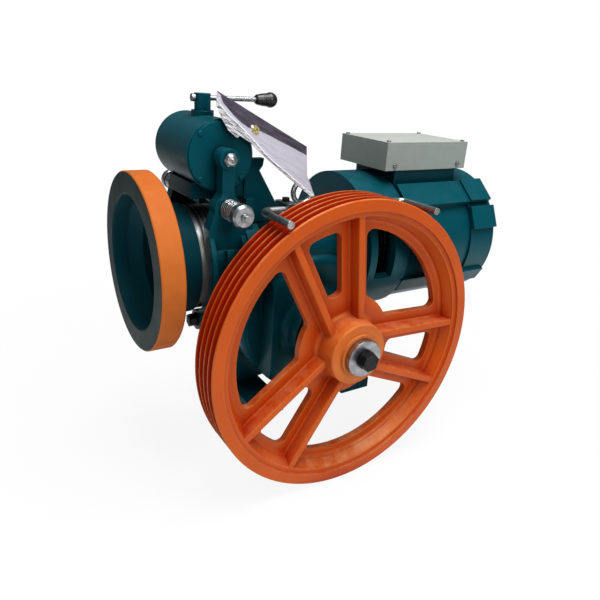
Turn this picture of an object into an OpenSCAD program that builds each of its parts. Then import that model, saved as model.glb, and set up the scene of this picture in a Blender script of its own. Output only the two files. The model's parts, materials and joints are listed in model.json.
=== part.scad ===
// Geared elevator traction machine: worm gearbox, overhung rope sheave, double-arm drum brake,
// handwheel flywheel and flange motor.
// Origin: centre of the four foundation bolt holes, on the underside of the feet.
// +X runs along the worm axis from the flywheel to the motor, -Y points out of the sheave's face.

/* [Axes] */
// Height of the sheave shaft above the feet
shaft_height = 165; // [158:1:190]
// Distance between the worm axis and the sheave shaft
centre_distance = 140; // [138:1:146]
// Distance from the worm wheel's mid plane to the sheave's mid plane
sheave_overhang = 167.5; // [165:0.5:190]

/* [Sheave] */
// Outer diameter of the sheave rim
sheave_d = 540; // [500:5:560]
// Width of the sheave rim
sheave_w = 69; // [67:1:76]
// Number of rope grooves
rope_count = 4; // [2:1:4]
// Diameter of the hoisting ropes
rope_d = 12; // [8:0.5:13]
// Distance between neighbouring ropes
rope_pitch = 16; // [14.5:0.5:16.5]
// Radial thickness of the rim over its front face
rim_face_t = 20; // [18:1:24]
// Radial thickness of the rim beside the web
rim_root_t = 38; // [32:1:42]
// Distance from the rim's front face back to the web
web_recess = 30; // [26:1:34]
// Thickness of the web
web_t = 14; // [10:1:16]
// Width of a rib at its crest
rib_w = 13; // [9:0.5:16]
// How far the rib crests stay behind the rim's front face
rib_recess = 6; // [3:0.5:10]
// Distance of each rib's centre line from the shaft axis
rib_offset = 20; // [16:1:22]
// Angle between a rib and the middle of its pair
rib_lean = 10.5; // [8:0.5:12]
// Web left standing beside each rib's centre line
rib_margin = 27; // [22:1:29]
// Outer radius of the windows
window_r = 215; // [190:1:220]
// Inner radius of the windows
window_in_r = 96; // [84:1:104]
// Corner radius of the windows
window_corner = 13; // [8:0.5:15]
// Outer radius of the hub's front face
hub_r = 57; // [52:0.5:60]
// How far the hub stands out of the rim's front face
hub_proud = 13.5; // [8:0.5:18]
// Height of the raised ring under the end washer
hub_ring_h = 5.5; // [3:0.5:8]
// Outer radius of the raised ring under the end washer
hub_ring_r = 39; // [36:0.5:45]

/* [Sheave shaft] */
// Radius of the shaft in the sheave
sheave_seat_r = 27.5; // [25:0.5:29]
// Radius of the shaft in the worm wheel
wheel_seat_r = 34; // [32:0.5:36]
// Radius of the shaft in its two bearings
bearing_seat_r = 32; // [30.5:0.5:33]
// Outer radius of the end washer
end_washer_r = 33.7; // [31:0.1:36]
// Thickness of the end washer
end_washer_t = 12; // [8:0.5:14]
// Thread diameter of the end bolt
end_bolt_d = 20; // [16:1:24]

/* [Worm pair] */
// Module of the worm wheel
gear_module = 5; // [4.8:0.05:5.2]
// Number of teeth on the worm wheel
wheel_teeth = 45; // [43:1:46]
// Face width of the worm wheel
wheel_w = 38; // [30:1:44]
// Radial thickness of the bronze ring under its teeth
bronze_t = 12; // [9:1:14]
// Length of the threaded part of the worm
worm_len = 96; // [70:1:110]
// Radius of the worm shaft beside its thread
worm_shaft_r = 20; // [16:0.5:20]
// Backlash between worm thread and wheel tooth, on each flank
gear_backlash = 0.5; // [0.4:0.05:0.8]

/* [Gear housing] */
// Inner radius of the wheel chamber
chamber_r = 124; // [121:0.5:126]
// Width of the wheel chamber outside, along the sheave shaft
chamber_w = 132; // [128:1:140]
// Wall of the wheel chamber
chamber_wall = 14; // [13:0.5:15]
// Distance from the wheel's mid plane to the front of the chamber's wide part
wide_front = 36; // [34:1:44]
// Half width of the chamber's narrow front part
front_half = 97; // [90:1:104]
// Outer radius of the worm chamber
worm_case_r = 66; // [64:0.5:70]
// Inner radius of the worm chamber
worm_case_in_r = 40; // [38:0.5:41]
// Distance from the sheave shaft to the worm chamber's brake end
case_left = 135; // [130:1:140]
// Distance from the sheave shaft to the face that carries the motor
case_right = 84; // [80:1:90]
// Length of the feet along the sheave shaft
foot_len = 180; // [170:1:200]
// Distance between the outer edges of the two feet
foot_span = 276; // [264:1:300]
// Width of one foot
foot_w = 68; // [60:1:74]
// Thickness of the feet
foot_t = 22; // [16:1:28]
// Distance between foundation bolts along the worm axis
bolt_span_x = 208; // [200:1:216]
// Distance between foundation bolts along the sheave shaft
bolt_span_y = 136; // [124:1:144]
// Diameter of the foundation bolt holes
bolt_hole_d = 18; // [13:0.5:22]

/* [Motor] */
// Radius of the motor's round casing
motor_r = 129; // [124:1:130]
// Length of the motor casing
motor_len = 167; // [160:1:200]
// Length of the end shield behind the casing
shield_len = 70; // [60:1:90]
// Length of the lantern and bell between gearbox and motor
bell_len = 81; // [78:1:90]
// Outer radius of the lantern and of the bell ring
bell_r = 136; // [132:0.5:137]
// Wall of the lantern
bell_wall = 16; // [13:0.5:17]
// Inner radius of the bell ring
bell_in_r = 100; // [90:1:104]
// Angle of each lantern window below the worm axis
window_low_a = 18; // [12:1:24]
// Angle of each lantern window above the worm axis
window_high_a = 30; // [20:1:36]
// Radius of the coupling's ribs
coupling_r = 75; // [66:0.5:76]
// Length of the coupling's ribbed disc
coupling_len = 40; // [36:1:41]

/* [Terminal box] */
// Length of the box along the motor
box_l = 208; // [190:1:230]
// Width of the box across the motor
box_w = 144; // [130:1:150]
// Height of the box with its lid
box_h = 52; // [46:1:70]
// Sheet thickness of the box
box_t = 1.5; // [1:0.1:3]
// Diameter of the cable entry in the box's back
entry_d = 25.5; // [20:0.5:32]

/* [Brake] */
// Radius of the bare steel brake track
drum_r = 90; // [86:0.5:92]
// Radius of the painted band beside the track
drum_band_r = 94; // [93:0.5:96]
// Distance from the sheave shaft to the brake's mid plane
brake_x = 200; // [198:0.5:204]
// Width of the brake arms
arm_w = 62; // [56:1:64]
// Gap between lining and drum with the brake closed
lining_gap = 0.35; // [0.3:0.05:0.6]
// Thickness of the brake linings
lining_t = 8; // [6:0.5:8.5]
// Half of the distance between the two arm pins
pin_y = 45; // [43:0.5:47]
// Depth of the arm pins below the worm axis
pin_drop = 100; // [99:0.5:102]
// Radius of the arm pins
pin_r = 8; // [6:0.5:9]
// Height of the spring studs above the worm axis
stud_rise = 105; // [104:0.5:107]
// Radius of the spring studs
stud_r = 6; // [5:0.5:6.5]
// Height of the magnet axis above the worm axis
magnet_rise = 181; // [179:0.5:190]
// Outer radius of the magnet's case
magnet_r = 55.6; // [50:0.1:56]
// Length of the magnet's case
magnet_len = 147; // [140:1:148]
// Outer radius of the brake springs
spring_r = 15; // [13:0.5:17]
// Wire diameter of the brake springs
spring_wire = 4; // [3:0.25:4.5]
// Length of the fitted springs
spring_len = 38; // [32:1:44]
// Length of the release rod from the post to its knob
rod_len = 96; // [80:1:120]
// Radius of the release knob
knob_r = 12.5; // [9:0.5:15]

/* [Flywheel] */
// Outer radius of the flywheel
flywheel_r = 149; // [130:1:160]
// Width of the flywheel's rim
flywheel_w = 40; // [30:1:50]
// Radius of the opening in the flywheel's face
flywheel_in_r = 112; // [104:1:118]

/* [Rope guards] */
// Diameter of the guard rods
guard_d = 12; // [8:0.5:14]
// Clearance between the sheave rim and a guard rod
guard_gap = 6; // [4:0.5:10]
// Angle of each guard rod from the top of the sheave
guard_angle = 31.5; // [30:0.5:34]

/* [Fits] */
// Radial clearance of shafts and pins that turn in their bores
run_gap = 0.05; // [0.03:0.01:0.08]
// Clearance between moving parts that pass each other
pass_gap = 2; // [1:0.25:3]

/* [Document sleeve] */
// Length of the clear sleeve along its top edge
sleeve_len = 184; // [160:1:210]
// Drop from the sleeve's top edge to its pointed corner
sleeve_h = 72; // [60:1:80]

/* [Hidden] */
$fn = 96;

teal = "#0b4a55";
orange = "#cf5f28";
zinc = "#b9bcc0";
dark = "#22252a";
grey = "#8b9088";
bronze = "#b5843c";

// Main lines
worm_z = shaft_height + centre_distance;
magnet_z = worm_z + magnet_rise;
stud_z = worm_z + stud_rise;
pin_z = worm_z - pin_drop;

// Sheave, measured outwards along the shaft from the worm wheel's mid plane
sheave_r = sheave_d / 2;
rim_front = sheave_overhang + sheave_w / 2;
rim_back = sheave_overhang - sheave_w / 2;
web_front = rim_front - web_recess;
web_back = web_front - web_t;
hub_front = rim_front + hub_proud;
ring_front = hub_front + hub_ring_h;
hub_back = rim_back - 13;
rim_root_r = sheave_r - rim_root_t;
rim_face_r = sheave_r - rim_face_t;
groove_r = rope_d / 2 + 0.3;
groove_half = groove_r + 0.4;
groove_depth = rope_d * 1.05;
rib_front = rim_front - rib_recess;
pair_angles = [107, 227, 347];

// Gear housing
chamber_out_r = chamber_r + chamber_wall;
chamber_end = chamber_w / 2;
cover_t = 14;
cover_face = chamber_end + cover_t;
boss_r = 70;
boss_end = hub_back - pass_gap - 2;
front_cap_t = 12;
boss_face = boss_end - front_cap_t;
bearing_out_r = bearing_seat_r + 20;
bearing_w = 23;
foot_x = foot_span / 2;
cover_screw_r = chamber_out_r - 8;
bearing_mid = chamber_end + 2 + bearing_w / 2;
worm_bearing_w = 18;
worm_bearing_x = [-case_left + 7, case_right - worm_bearing_w];
cover_screws_n = 8;
cap_screws_n = 6;
cap_screw_r = (bearing_out_r + boss_r) / 2;
cap_screw_sink = 5;
seal_w = 8;
seal_room = 10;
foot_wall_w = 56;
foot_wall_d = 52;
foot_wall_y = 8;
case_flange_r = worm_case_r + 14;
case_flange_t = 14;
case_top = worm_z + worm_case_r;
pad_top = case_top + 1;
bracket_screw_r = worm_case_r + 4;
seat_w = 44;
seat_x = [-132, -70];
screw_r = 4;
screw_head_h = 6.5;
screw_head_r = 7.5;

// Worm pair
worm_pitch_r = centre_distance - gear_module * wheel_teeth / 2;
worm_tip_r = worm_pitch_r + gear_module;
worm_root_r = worm_pitch_r - 1.2 * gear_module;
worm_lead = PI * gear_module;
worm_turns = worm_len / worm_lead;
flank_tan = tan(20);
wheel_pitch_r = gear_module * wheel_teeth / 2;
wheel_root_r = wheel_pitch_r - 1.2 * gear_module;
wheel_tip_r = wheel_pitch_r + gear_module * 0.95;
wheel_hub_r = wheel_root_r - bronze_t;
worm_lead_angle = atan(worm_lead / (2 * PI * worm_pitch_r));
wheel_twist = wheel_w * tan(worm_lead_angle) / wheel_pitch_r * 180 / PI;

// Motor line, measured along the worm axis
bell_x1 = case_right + bell_len;
bell_split = chamber_out_r + 3;
bell_screw_r = bell_r - bell_wall / 2;
bell_screw_sink = 9;
coupling_x0 = bell_x1 - coupling_len - 1;
coupling_mid = coupling_x0 + coupling_len / 2;
lantern_x0 = case_right - 14;
motor_x1 = bell_x1 + motor_len;
shield_x1 = motor_x1 + shield_len;
rotor_gap = 0.6;
stator_in_r = 70;
stator_x0 = bell_x1 + 22;
stator_x1 = motor_x1 - 16;
box_z = worm_z + 147;
box_x0 = bell_x1 + 1;
lid_h = 4;
lug_t = 12;
box_screw_in = 8;
block_l = 76;
block_w = 40;

// Brake
track_x0 = -brake_x - 40;
track_x1 = -brake_x + 32;
band_x0 = -case_left - 151;
arm_x0 = -brake_x - arm_w / 2 - 1;
arm_x1 = arm_x0 + arm_w;
shoe_r = drum_r + lining_gap + lining_t;
shoe_out_r = shoe_r + 13;
arm_out = shoe_r + 5.5;
arm_in = 80;
adjuster_tip = 92;
plate_x0 = -case_left - 14;
plate_x1 = -case_left;
hub_face = track_x0 - 22;
shaft_tip = hub_face - 20;
drum_seat_r = worm_shaft_r - 2;
nut_thread_r = 12;
cap_len = 18;
spring_seat = arm_out;
rod_z = magnet_z + magnet_r + 25;
post_r = 13;
cam_half = 4;
cam_w = 9.2;
plunger_r = 12;
plunger_in = 4.7;
coil_out_r = magnet_r - 9;

// Rope guards
guard_r = guard_d / 2;
guard_line_r = sheave_r + guard_gap + guard_r;
guard_x = guard_line_r * sin(guard_angle);
guard_z = shaft_height + guard_line_r * cos(guard_angle);
guard_back = rim_back - 19;
guard_front = rim_front + 3;
guard_bend = guard_d * 1.2;
clamp_x = [-95, 55];
clamp_w = 20;

function polar(r, a) = [r * cos(a), r * sin(a)];
function arc(c, r, a0, a1, n) = [for (i = [0 : n]) c + polar(r, a0 + (a1 - a0) * i / n)];

// Local +Z points out of the sheave's face; local X and Y are the part's X and Z.
module on_shaft(z = shaft_height) {
    translate([0, 0, z]) rotate([90, 0, 0]) children();
}

// Local +Z points towards the motor; local X points down.
module on_worm(z = worm_z) {
    translate([0, 0, z]) rotate([0, 90, 0]) children();
}

module tube(r_out, r_in, z0, z1) {
    translate([0, 0, z0]) difference() {
        cylinder(r = r_out, h = z1 - z0);
        translate([0, 0, -1]) cylinder(r = r_in, h = z1 - z0 + 2);
    }
}

module rod_along(r, z0, z1) {
    translate([0, 0, z0]) cylinder(r = r, h = z1 - z0);
}

module ring_of(n, r, a0 = 0) {
    for (i = [0 : n - 1]) rotate([0, 0, a0 + 360 * i / n]) translate([r, 0, 0]) children();
}

// Hexagon-head screw with its head's underside at z = 0 and its shank below
module hex_screw(r, len, head_r, head_h) {
    cylinder(r = head_r, h = head_h, $fn = 6);
    translate([0, 0, -len]) cylinder(r = r, h = len + 0.5);
}

// ---------------------------------------------------------------- sheave

// One rope groove in the rim's section, from its front edge to its back edge
function groove(v) = concat(
    [[sheave_r, v + groove_half]],
    arc([sheave_r - groove_depth + groove_r, v], groove_r, 90, 270, 10),
    [[sheave_r, v - groove_half]]);

function grooves() = [
    for (i = [0 : rope_count - 1])
        each groove(sheave_overhang + ((rope_count - 1) / 2 - i) * rope_pitch)];

// Section through rim, web and hub: radius against distance along the shaft
module sheave_section() {
    fillet = 7;
    bevel = 1.2;
    polygon(concat(
        [[sheave_seat_r, hub_back], [sheave_seat_r, ring_front], [hub_ring_r, ring_front],
         [hub_ring_r, hub_front], [hub_r - 2, hub_front], [hub_r, hub_front - 2]],
        arc([hub_r + 3 + fillet, web_front + fillet], fillet, 180, 270, 5),
        arc([rim_root_r - fillet, web_front + fillet], fillet, 270, 360, 5),
        [[rim_face_r - 10, rib_front - 2], [rim_face_r - 9, rib_front + 1],
         [rim_face_r - 1, rib_front + 1.6], [rim_face_r, rim_front],
         [sheave_r - bevel, rim_front], [sheave_r, rim_front - bevel]],
        grooves(),
        [[sheave_r, rim_back + bevel], [sheave_r - bevel, rim_back], [rim_face_r - 2, rim_back]],
        arc([rim_root_r - fillet, web_back - fillet], fillet, 0, 90, 5),
        arc([hub_r + 6 + fillet, web_back - fillet], fillet, 90, 180, 5),
        [[hub_r + 3, hub_back]]));
}

// Angle at which a line of direction t, running d to the left of the centre, meets radius r
function line_angle(t, d, r) = t + asin(d / r);

// Opening between line A (ta, da) and line B (tb, db), from radius r0 to r1, with corner radius f
function window_outline(ta, da, tb, db, r0, r1, f) = let(
    oa = line_angle(ta, da + f, r1 - f), ob = line_angle(tb, db - f, r1 - f),
    ia = line_angle(ta, da + f, r0 + f), ib = line_angle(tb, db - f, r0 + f)) concat(
        arc(polar(r1 - f, oa), f, ta - 90, oa, 5), arc([0, 0], r1, oa, ob, 14),
        arc(polar(r1 - f, ob), f, ob, tb + 90, 5),
        arc(polar(r0 + f, ib), f, tb + 90, ib + 180, 5), arc([0, 0], r0, ib, ia, 6),
        arc(polar(r0 + f, ia), f, ia + 180, ta + 270, 5));

// Cross-section of a rib: drafted sides, a rounded crest and a fillet where it meets the web
module rib_section() {
    half = rib_w / 2;
    round_r = 3;
    foot = half + 2;
    h = rib_front - web_front;
    polygon(concat(
        arc([half - round_r, h - round_r], round_r, 0, 90, 4),
        arc([round_r - half, h - round_r], round_r, 90, 180, 4),
        arc([-foot - 5, 4], 5, 0, -90, 4),
        [[0, -3]],
        arc([foot + 5, 4], 5, 270, 180, 4)));
}

module sheave_rib(t, d) {
    rotate([0, 0, t]) translate([hub_r - 5, d, web_front]) rotate([90, 0, 90])
        linear_extrude(height = rim_root_r + 18 - hub_r) rib_section();
}

module sheave() {
    small_corner = window_corner - 1;
    edge = rib_margin - rib_offset - 2;
    small_r = max(window_in_r + 5, (small_corner + edge) / sin(rib_lean) - small_corner + 2);
    color(orange) on_shaft() difference() {
        union() {
            rotate_extrude() sheave_section();
            for (a = pair_angles, side = [-1, 1])
                sheave_rib(a + side * rib_lean, side * rib_offset);
        }
        for (a = pair_angles) {
            translate([0, 0, web_back - 12]) linear_extrude(height = web_t + 24) {
                polygon(window_outline(a - rib_lean, edge, a + rib_lean, -edge,
                                       small_r, window_r, small_corner));
                polygon(window_outline(a + rib_lean, rib_offset + rib_margin,
                                       a + 120 - rib_lean, -rib_offset - rib_margin,
                                       window_in_r, window_r, window_corner));
            }
        }
        rotate([0, 0, 90]) key_slot(sheave_seat_r, rim_back, rim_front);
    }
}

// Room for half of a key on a seat of radius r, between z0 and z1
module key_slot(r, z0, z1) {
    translate([r - 6, -7, z0]) cube([10, 14, z1 - z0]);
}

module end_washer() {
    color(zinc) on_shaft() difference() {
        rotate_extrude() polygon([[end_bolt_d / 2 + 0.5, ring_front], [end_washer_r, ring_front],
            [end_washer_r, ring_front + end_washer_t - 1], [end_washer_r - 1, ring_front + end_washer_t],
            [end_bolt_d / 2 + 0.5, ring_front + end_washer_t]]);
    }
}

module end_bolt() {
    seat = ring_front + end_washer_t;
    spring_washer = 4.5;
    color(dark) on_shaft() {
        translate([0, 0, seat]) tube(end_bolt_d * 0.85, end_bolt_d / 2, 0, spring_washer);
        translate([0, 0, seat + spring_washer]) rotate([0, 0, 12])
            hex_screw(end_bolt_d / 2, 60, end_bolt_d * 0.866, end_bolt_d * 0.625);
    }
}

// ---------------------------------------------------------------- sheave shaft and worm wheel

module main_shaft() {
    front_end = ring_front - 5;
    color(zinc) on_shaft() difference() {
        union() {
            rod_along(bearing_seat_r, -cover_face - bearing_w + 6, hub_back);
            rod_along(wheel_seat_r, -wheel_w / 2 - 12, wheel_w / 2 + 8);
            rod_along(wheel_seat_r + 5, wheel_w / 2 + 8, wheel_w / 2 + 16);
            rod_along(sheave_seat_r, hub_back - 1, front_end);
        }
        rod_along(end_bolt_d / 2, front_end - 44, front_end + 1);
        rotate([0, 0, 90]) key_slot(sheave_seat_r, rim_back, rim_front);
        rotate([0, 0, 90]) key_slot(wheel_seat_r, -wheel_w / 2 + 2, wheel_w / 2 - 2);
    }
}

module shaft_keys() {
    color(zinc) on_shaft() rotate([0, 0, 90]) {
        key_slot(sheave_seat_r, rim_back, rim_front);
        key_slot(wheel_seat_r, -wheel_w / 2 + 2, wheel_w / 2 - 2);
    }
}

module worm_wheel_hub() {
    half = wheel_w / 2;
    color(grey) on_shaft() difference() {
        rotate_extrude() polygon([[wheel_seat_r, -half - 10], [wheel_seat_r + 18, -half - 10],
            [wheel_seat_r + 21, -8], [wheel_hub_r - 14, -8], [wheel_hub_r - 12, -half + 2],
            [wheel_hub_r, -half + 2], [wheel_hub_r, half - 2], [wheel_hub_r - 12, half - 2],
            [wheel_hub_r - 14, 8], [wheel_seat_r + 21, 8], [wheel_seat_r + 18, half + 8],
            [wheel_seat_r, half + 8]]);
        ring_of(6, (wheel_seat_r + wheel_hub_r) / 2 + 3, 30) translate([0, 0, -9]) cylinder(r = 9, h = 18);
        rotate([0, 0, 90]) key_slot(wheel_seat_r, -half + 2, half - 2);
    }
}

// Half of the angle that a tooth takes at radius r, for an involute flank
function involute(a) = tan(a) * 180 / PI - a;
function tooth_half(r) = let(base = wheel_pitch_r * cos(20))
    90 / wheel_teeth + involute(20) - involute(acos(base / r));

// Outline points of the tooth centred on angle a, at height v along the shaft
function tooth(a, v) = [
    for (r = [wheel_root_r, wheel_pitch_r, wheel_tip_r])
        [r * cos(a - tooth_half(r)), r * sin(a - tooth_half(r)), v],
    for (r = [wheel_tip_r, wheel_pitch_r, wheel_root_r])
        [r * cos(a + tooth_half(r)), r * sin(a + tooth_half(r)), v]];

function tooth_ring(v, turn) = [
    for (i = [0 : wheel_teeth - 1]) each tooth(90 + turn + 360 * i / wheel_teeth, v)];

// Toothed disc whose teeth lean by the worm's lead angle
module helical_disc() {
    n = 6 * wheel_teeth;
    half = wheel_w / 2;
    points = concat(tooth_ring(-half, -wheel_twist / 2), tooth_ring(half, wheel_twist / 2),
                    [[0, 0, -half], [0, 0, half]]);
    faces = [for (i = [0 : n - 1]) let(j = (i + 1) % n)
        each [[i, j, 2 * n], [n + j, n + i, 2 * n + 1], [i, n + i, j], [j, n + i, n + j]]];
    polyhedron(points = points, faces = faces, convexity = 12);
}

module worm_wheel_ring() {
    color(bronze) on_shaft() difference() {
        helical_disc();
        rod_along(wheel_hub_r, -wheel_w, wheel_w);
    }
}

module main_bearings() {
    color(zinc) on_shaft() for (side = [-1, 1])
        translate([0, 0, side * bearing_mid])
            tube(bearing_out_r, bearing_seat_r + run_gap, -bearing_w / 2, bearing_w / 2);
}

// ---------------------------------------------------------------- gear housing

// Wheel chamber: a wide drum round the worm wheel and a narrower front part with the bearing boss
module chamber_solid() {
    on_shaft() {
        rotate_extrude() polygon(concat([[0, -chamber_end], [chamber_out_r, -chamber_end]],
            arc([chamber_out_r - 12, wide_front - 12], 12, 0, 90, 5), [[0, wide_front]]));
        intersection() {
            rotate_extrude() polygon(concat([[0, 0], [chamber_out_r, 0]],
                arc([chamber_out_r - 16, cover_face - 16], 16, 0, 90, 6),
                arc([boss_r + 14, cover_face + 14], 14, 270, 180, 6),
                [[boss_r, boss_face], [0, boss_face]]));
            translate([-front_half, -chamber_out_r, -1])
                cube([2 * front_half, 2 * chamber_out_r, boss_face + 2]);
        }
    }
}

// Hollow barrel round the coupling, with a window on each side
module lantern() {
    window_x0 = case_right + 2;
    window_x1 = bell_split - 13;
    on_worm() difference() {
        rod_along(bell_r, lantern_x0, bell_split);
        rod_along(bell_r - bell_wall, case_right, bell_split + 1);
        for (side = [-1, 1]) scale([1, side, 1]) translate([0, 0, window_x0])
            linear_extrude(height = window_x1 - window_x0)
                polygon(concat([[0, 0]], arc([0, 0], bell_r + 3, 90 - window_low_a, 90 + window_high_a, 8)));
    }
}

// Wall from a foot up to the wheel chamber, with a shoulder that clears the arch between the feet
module foot_wall(side, top) {
    outer = case_left - 3;
    inner = outer - foot_wall_w;
    reach = inner - 18;
    translate([0, foot_wall_y + foot_wall_d, 0]) rotate([90, 0, 0]) linear_extrude(height = foot_wall_d)
        scale([side, 1]) polygon([[inner, 0], [outer, 0], [outer, top], [reach, top], [reach, 30], [inner, 28]]);
}

// Solid outline of the housing before it is hollowed
module housing_solid() {
    chamber_solid();
    lantern();
    on_worm() {
        rod_along(worm_case_r, -case_left, case_right);
        rod_along(case_flange_r, -case_left, case_flange_t - case_left);
        rod_along(worm_shaft_r + 18, case_right - 1, case_right + seal_w);
    }
    translate([-118, -wide_front, shaft_height])
        cube([118 + case_right, wide_front + 48, centre_distance - 5]);
    for (side = [-1, 1]) translate([side * (foot_x - foot_w / 2), 0, foot_t / 2])
        cube([foot_w, foot_len, foot_t], center = true);
    foot_wall(-1, worm_z - 50);
    foot_wall(1, shaft_height);
    rod_along(20, case_top - 8, case_top + 7);
    rod_along(17, 12, 40);
    translate([-130, -48, case_top - 31]) cube([60, 96, pad_top - case_top + 31]);
    translate([-48, 0, 0]) rod_along(14, case_top - 20, case_top + 4);
    for (x = clamp_x)
        translate([x - clamp_w / 2, -92, worm_z + 30]) cube([clamp_w, 62, 20]);
}

module gear_housing() {
    color(teal) difference() {
        housing_solid();
        on_shaft() {
            rod_along(chamber_r, -chamber_end - 1, wide_front - chamber_wall + 2);
            rod_along(chamber_out_r + 1.5, -chamber_end - 70, -chamber_end);
            intersection() {
                rod_along(chamber_r - 10, 0, chamber_end);
                translate([chamber_wall - front_half, -chamber_r, 0])
                    cube([2 * (front_half - chamber_wall), 2 * chamber_r, chamber_end]);
            }
            rod_along(bearing_seat_r + 12, 0, bearing_mid);
            rod_along(bearing_out_r, bearing_mid - bearing_w / 2, boss_face + 1);
            ring_of(cap_screws_n, cap_screw_r, 30) rod_along(3, boss_face - 12, boss_face + 1);
            mirror([0, 0, 1]) ring_of(cover_screws_n, cover_screw_r, 22.5)
                rod_along(screw_r, chamber_end - 22, chamber_end + 1);
        }
        on_worm() {
            rod_along(worm_case_in_r, -case_left - 1, case_right);
            rod_along(worm_shaft_r + seal_room, 0, case_right + seal_w + 1);
            ring_of(6, 50, 30) rod_along(screw_r, -case_left - 1, 20 - case_left);
            ring_of(6, bracket_screw_r, 30) rod_along(screw_r, -case_left - 1, 12 - case_left);
            ring_of(cover_screws_n, bell_screw_r, 22.5) rod_along(screw_r, bell_split - 12, bell_split + 1);
        }
        translate([-case_left - 1, -60, pad_top]) cube([case_left - 60, 120, 20]);
        translate([-case_left - 20, -chamber_end - 4, pin_z - 20]) cube([20, 2 * chamber_end + 8, 30]);
        for (x = [-1, 1], y = [-1, 1])
            translate([x * bolt_span_x / 2, y * bolt_span_y / 2, 0]) rod_along(bolt_hole_d / 2, -1, foot_t + 1);
        rod_along(8, case_top - 24, case_top + 8);
        rod_along(7, 11, 45);
        translate([-48, 0, 0]) rod_along(6, worm_z, case_top + 5);
        for (x = [-120, -82], y = [-30, 30])
            translate([x, y, 0]) rod_along(screw_r, pad_top - 16, pad_top + 1);
        for (x = clamp_x) translate([x, 0, worm_z + 40]) rotate([90, 0, 0]) rod_along(screw_r, 70, 93);
    }
}

// Cap that holds the front bearing and the shaft's seal
module front_cover() {
    bearing_face = bearing_mid + bearing_w / 2;
    color(teal) on_shaft() difference() {
        union() {
            rotate_extrude() polygon([[0, boss_face], [boss_r, boss_face], [boss_r, boss_end - 2],
                [boss_r - 2, boss_end], [0, boss_end]]);
            rod_along(bearing_out_r - 0.02, bearing_face, boss_face + 1);
        }
        rod_along(bearing_seat_r + 3, bearing_face - 1, boss_end);
        rod_along(bearing_seat_r + seal_room, boss_end - 11, boss_end + 1);
        ring_of(cap_screws_n, cap_screw_r, 30) {
            rod_along(3, boss_face - 1, boss_end + 1);
            rod_along(6, boss_end - cap_screw_sink, boss_end + 1);
        }
    }
}

// Cover on the back of the wheel chamber, with the seat of the blind bearing
module chamber_cover() {
    gauge_a = -30;
    difference() {
        union() {
            rotate_extrude() polygon(concat(
                [[0, chamber_end - 8], [chamber_r - 0.02, chamber_end - 8], [chamber_r - 0.02, chamber_end],
                 [chamber_out_r, chamber_end], [chamber_out_r, cover_face - 2],
                 [chamber_out_r - 2, cover_face]],
                arc([boss_r + 8, cover_face + 8], 8, 270, 180, 5),
                [[boss_r, boss_end - 3], [boss_r - 3, boss_end], [0, boss_end]]));
            ring_of(6, 0) translate([boss_r - 6, 4, cover_face - 4]) rotate([90, 0, 0])
                linear_extrude(height = 8) polygon([[0, 0], [52, 0], [52, 6], [10, 34], [0, 34]]);
        }
        rod_along(chamber_r - 14, chamber_end - 9, chamber_end + 2);
        rod_along(bearing_out_r, chamber_end - 9, bearing_mid + bearing_w / 2);
        rod_along(bearing_seat_r + 8, chamber_end, boss_end - 12);
        rotate([0, 0, gauge_a]) translate([100, 0, cover_face - 8]) cylinder(r = 12, h = 20);
        ring_of(cover_screws_n, cover_screw_r, 22.5) rod_along(screw_r, chamber_end - 1, cover_face + 1);
    }
}

module rear_cover() {
    color(teal) on_shaft() mirror([0, 0, 1]) chamber_cover();
}

module oil_gauge() {
    color(zinc) on_shaft() mirror([0, 0, 1]) rotate([0, 0, -30]) translate([100, 0, 0])
        difference() {
            union() {
                rod_along(12, cover_face - 8, cover_face);
                rod_along(15, cover_face, cover_face + 5);
            }
            rod_along(9, cover_face + 3, cover_face + 6);
        }
}

module worm_cover() {
    color(teal) on_worm() difference() {
        union() {
            rod_along(58, -case_left - 12, -case_left);
            rod_along(worm_case_in_r - 0.02, -case_left - 1, worm_bearing_x[0]);
        }
        rod_along(worm_shaft_r + 2, -case_left - 13, -case_left + 8);
        rod_along(worm_shaft_r + seal_room, -case_left - 13, -case_left - 3);
        ring_of(6, 50, 30) rod_along(screw_r, -case_left - 13, -case_left + 1);
    }
}

module shaft_seal() {
    color(dark) {
        on_shaft() tube(bearing_seat_r + seal_room, bearing_seat_r + run_gap, boss_end - 11, boss_end - 1);
        on_worm() {
            tube(worm_shaft_r + seal_room, worm_shaft_r + run_gap, -case_left - 11, -case_left - 3);
            tube(worm_shaft_r + seal_room, worm_shaft_r + run_gap, case_right, case_right + seal_w);
        }
    }
}

module worm_bearings() {
    color(zinc) on_worm() {
        for (x = worm_bearing_x)
            tube(worm_case_in_r, worm_shaft_r + run_gap, x, x + worm_bearing_w);
        tube(36, worm_shaft_r - 2 + run_gap, shield_x1 - 34, shield_x1 - 14);
    }
}

module breather() {
    color(zinc) translate([-48, 0, 0]) {
        rod_along(6, case_top - 8, case_top + 5);
        translate([0, 0, case_top + 4]) cylinder(r = 10, h = 7, $fn = 6);
        rod_along(8.5, case_top + 10, case_top + 22);
    }
}

module drain_plug() {
    color(zinc) {
        rod_along(7, 11, 36);
        translate([0, 0, 3]) cylinder(r = 11, h = 9, $fn = 6);
    }
}

module lifting_eye() {
    color(zinc) {
        translate([0, 0, case_top + 34]) rotate([90, 0, 0]) rotate_extrude()
            translate([20, 0]) circle(r = 5, $fn = 32);
        rotate_extrude() polygon([[0, case_top + 7], [17, case_top + 7], [17, case_top + 10],
                                  [9, case_top + 16], [0, case_top + 16]]);
        rod_along(8, case_top - 24, case_top + 8);
    }
}

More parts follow.
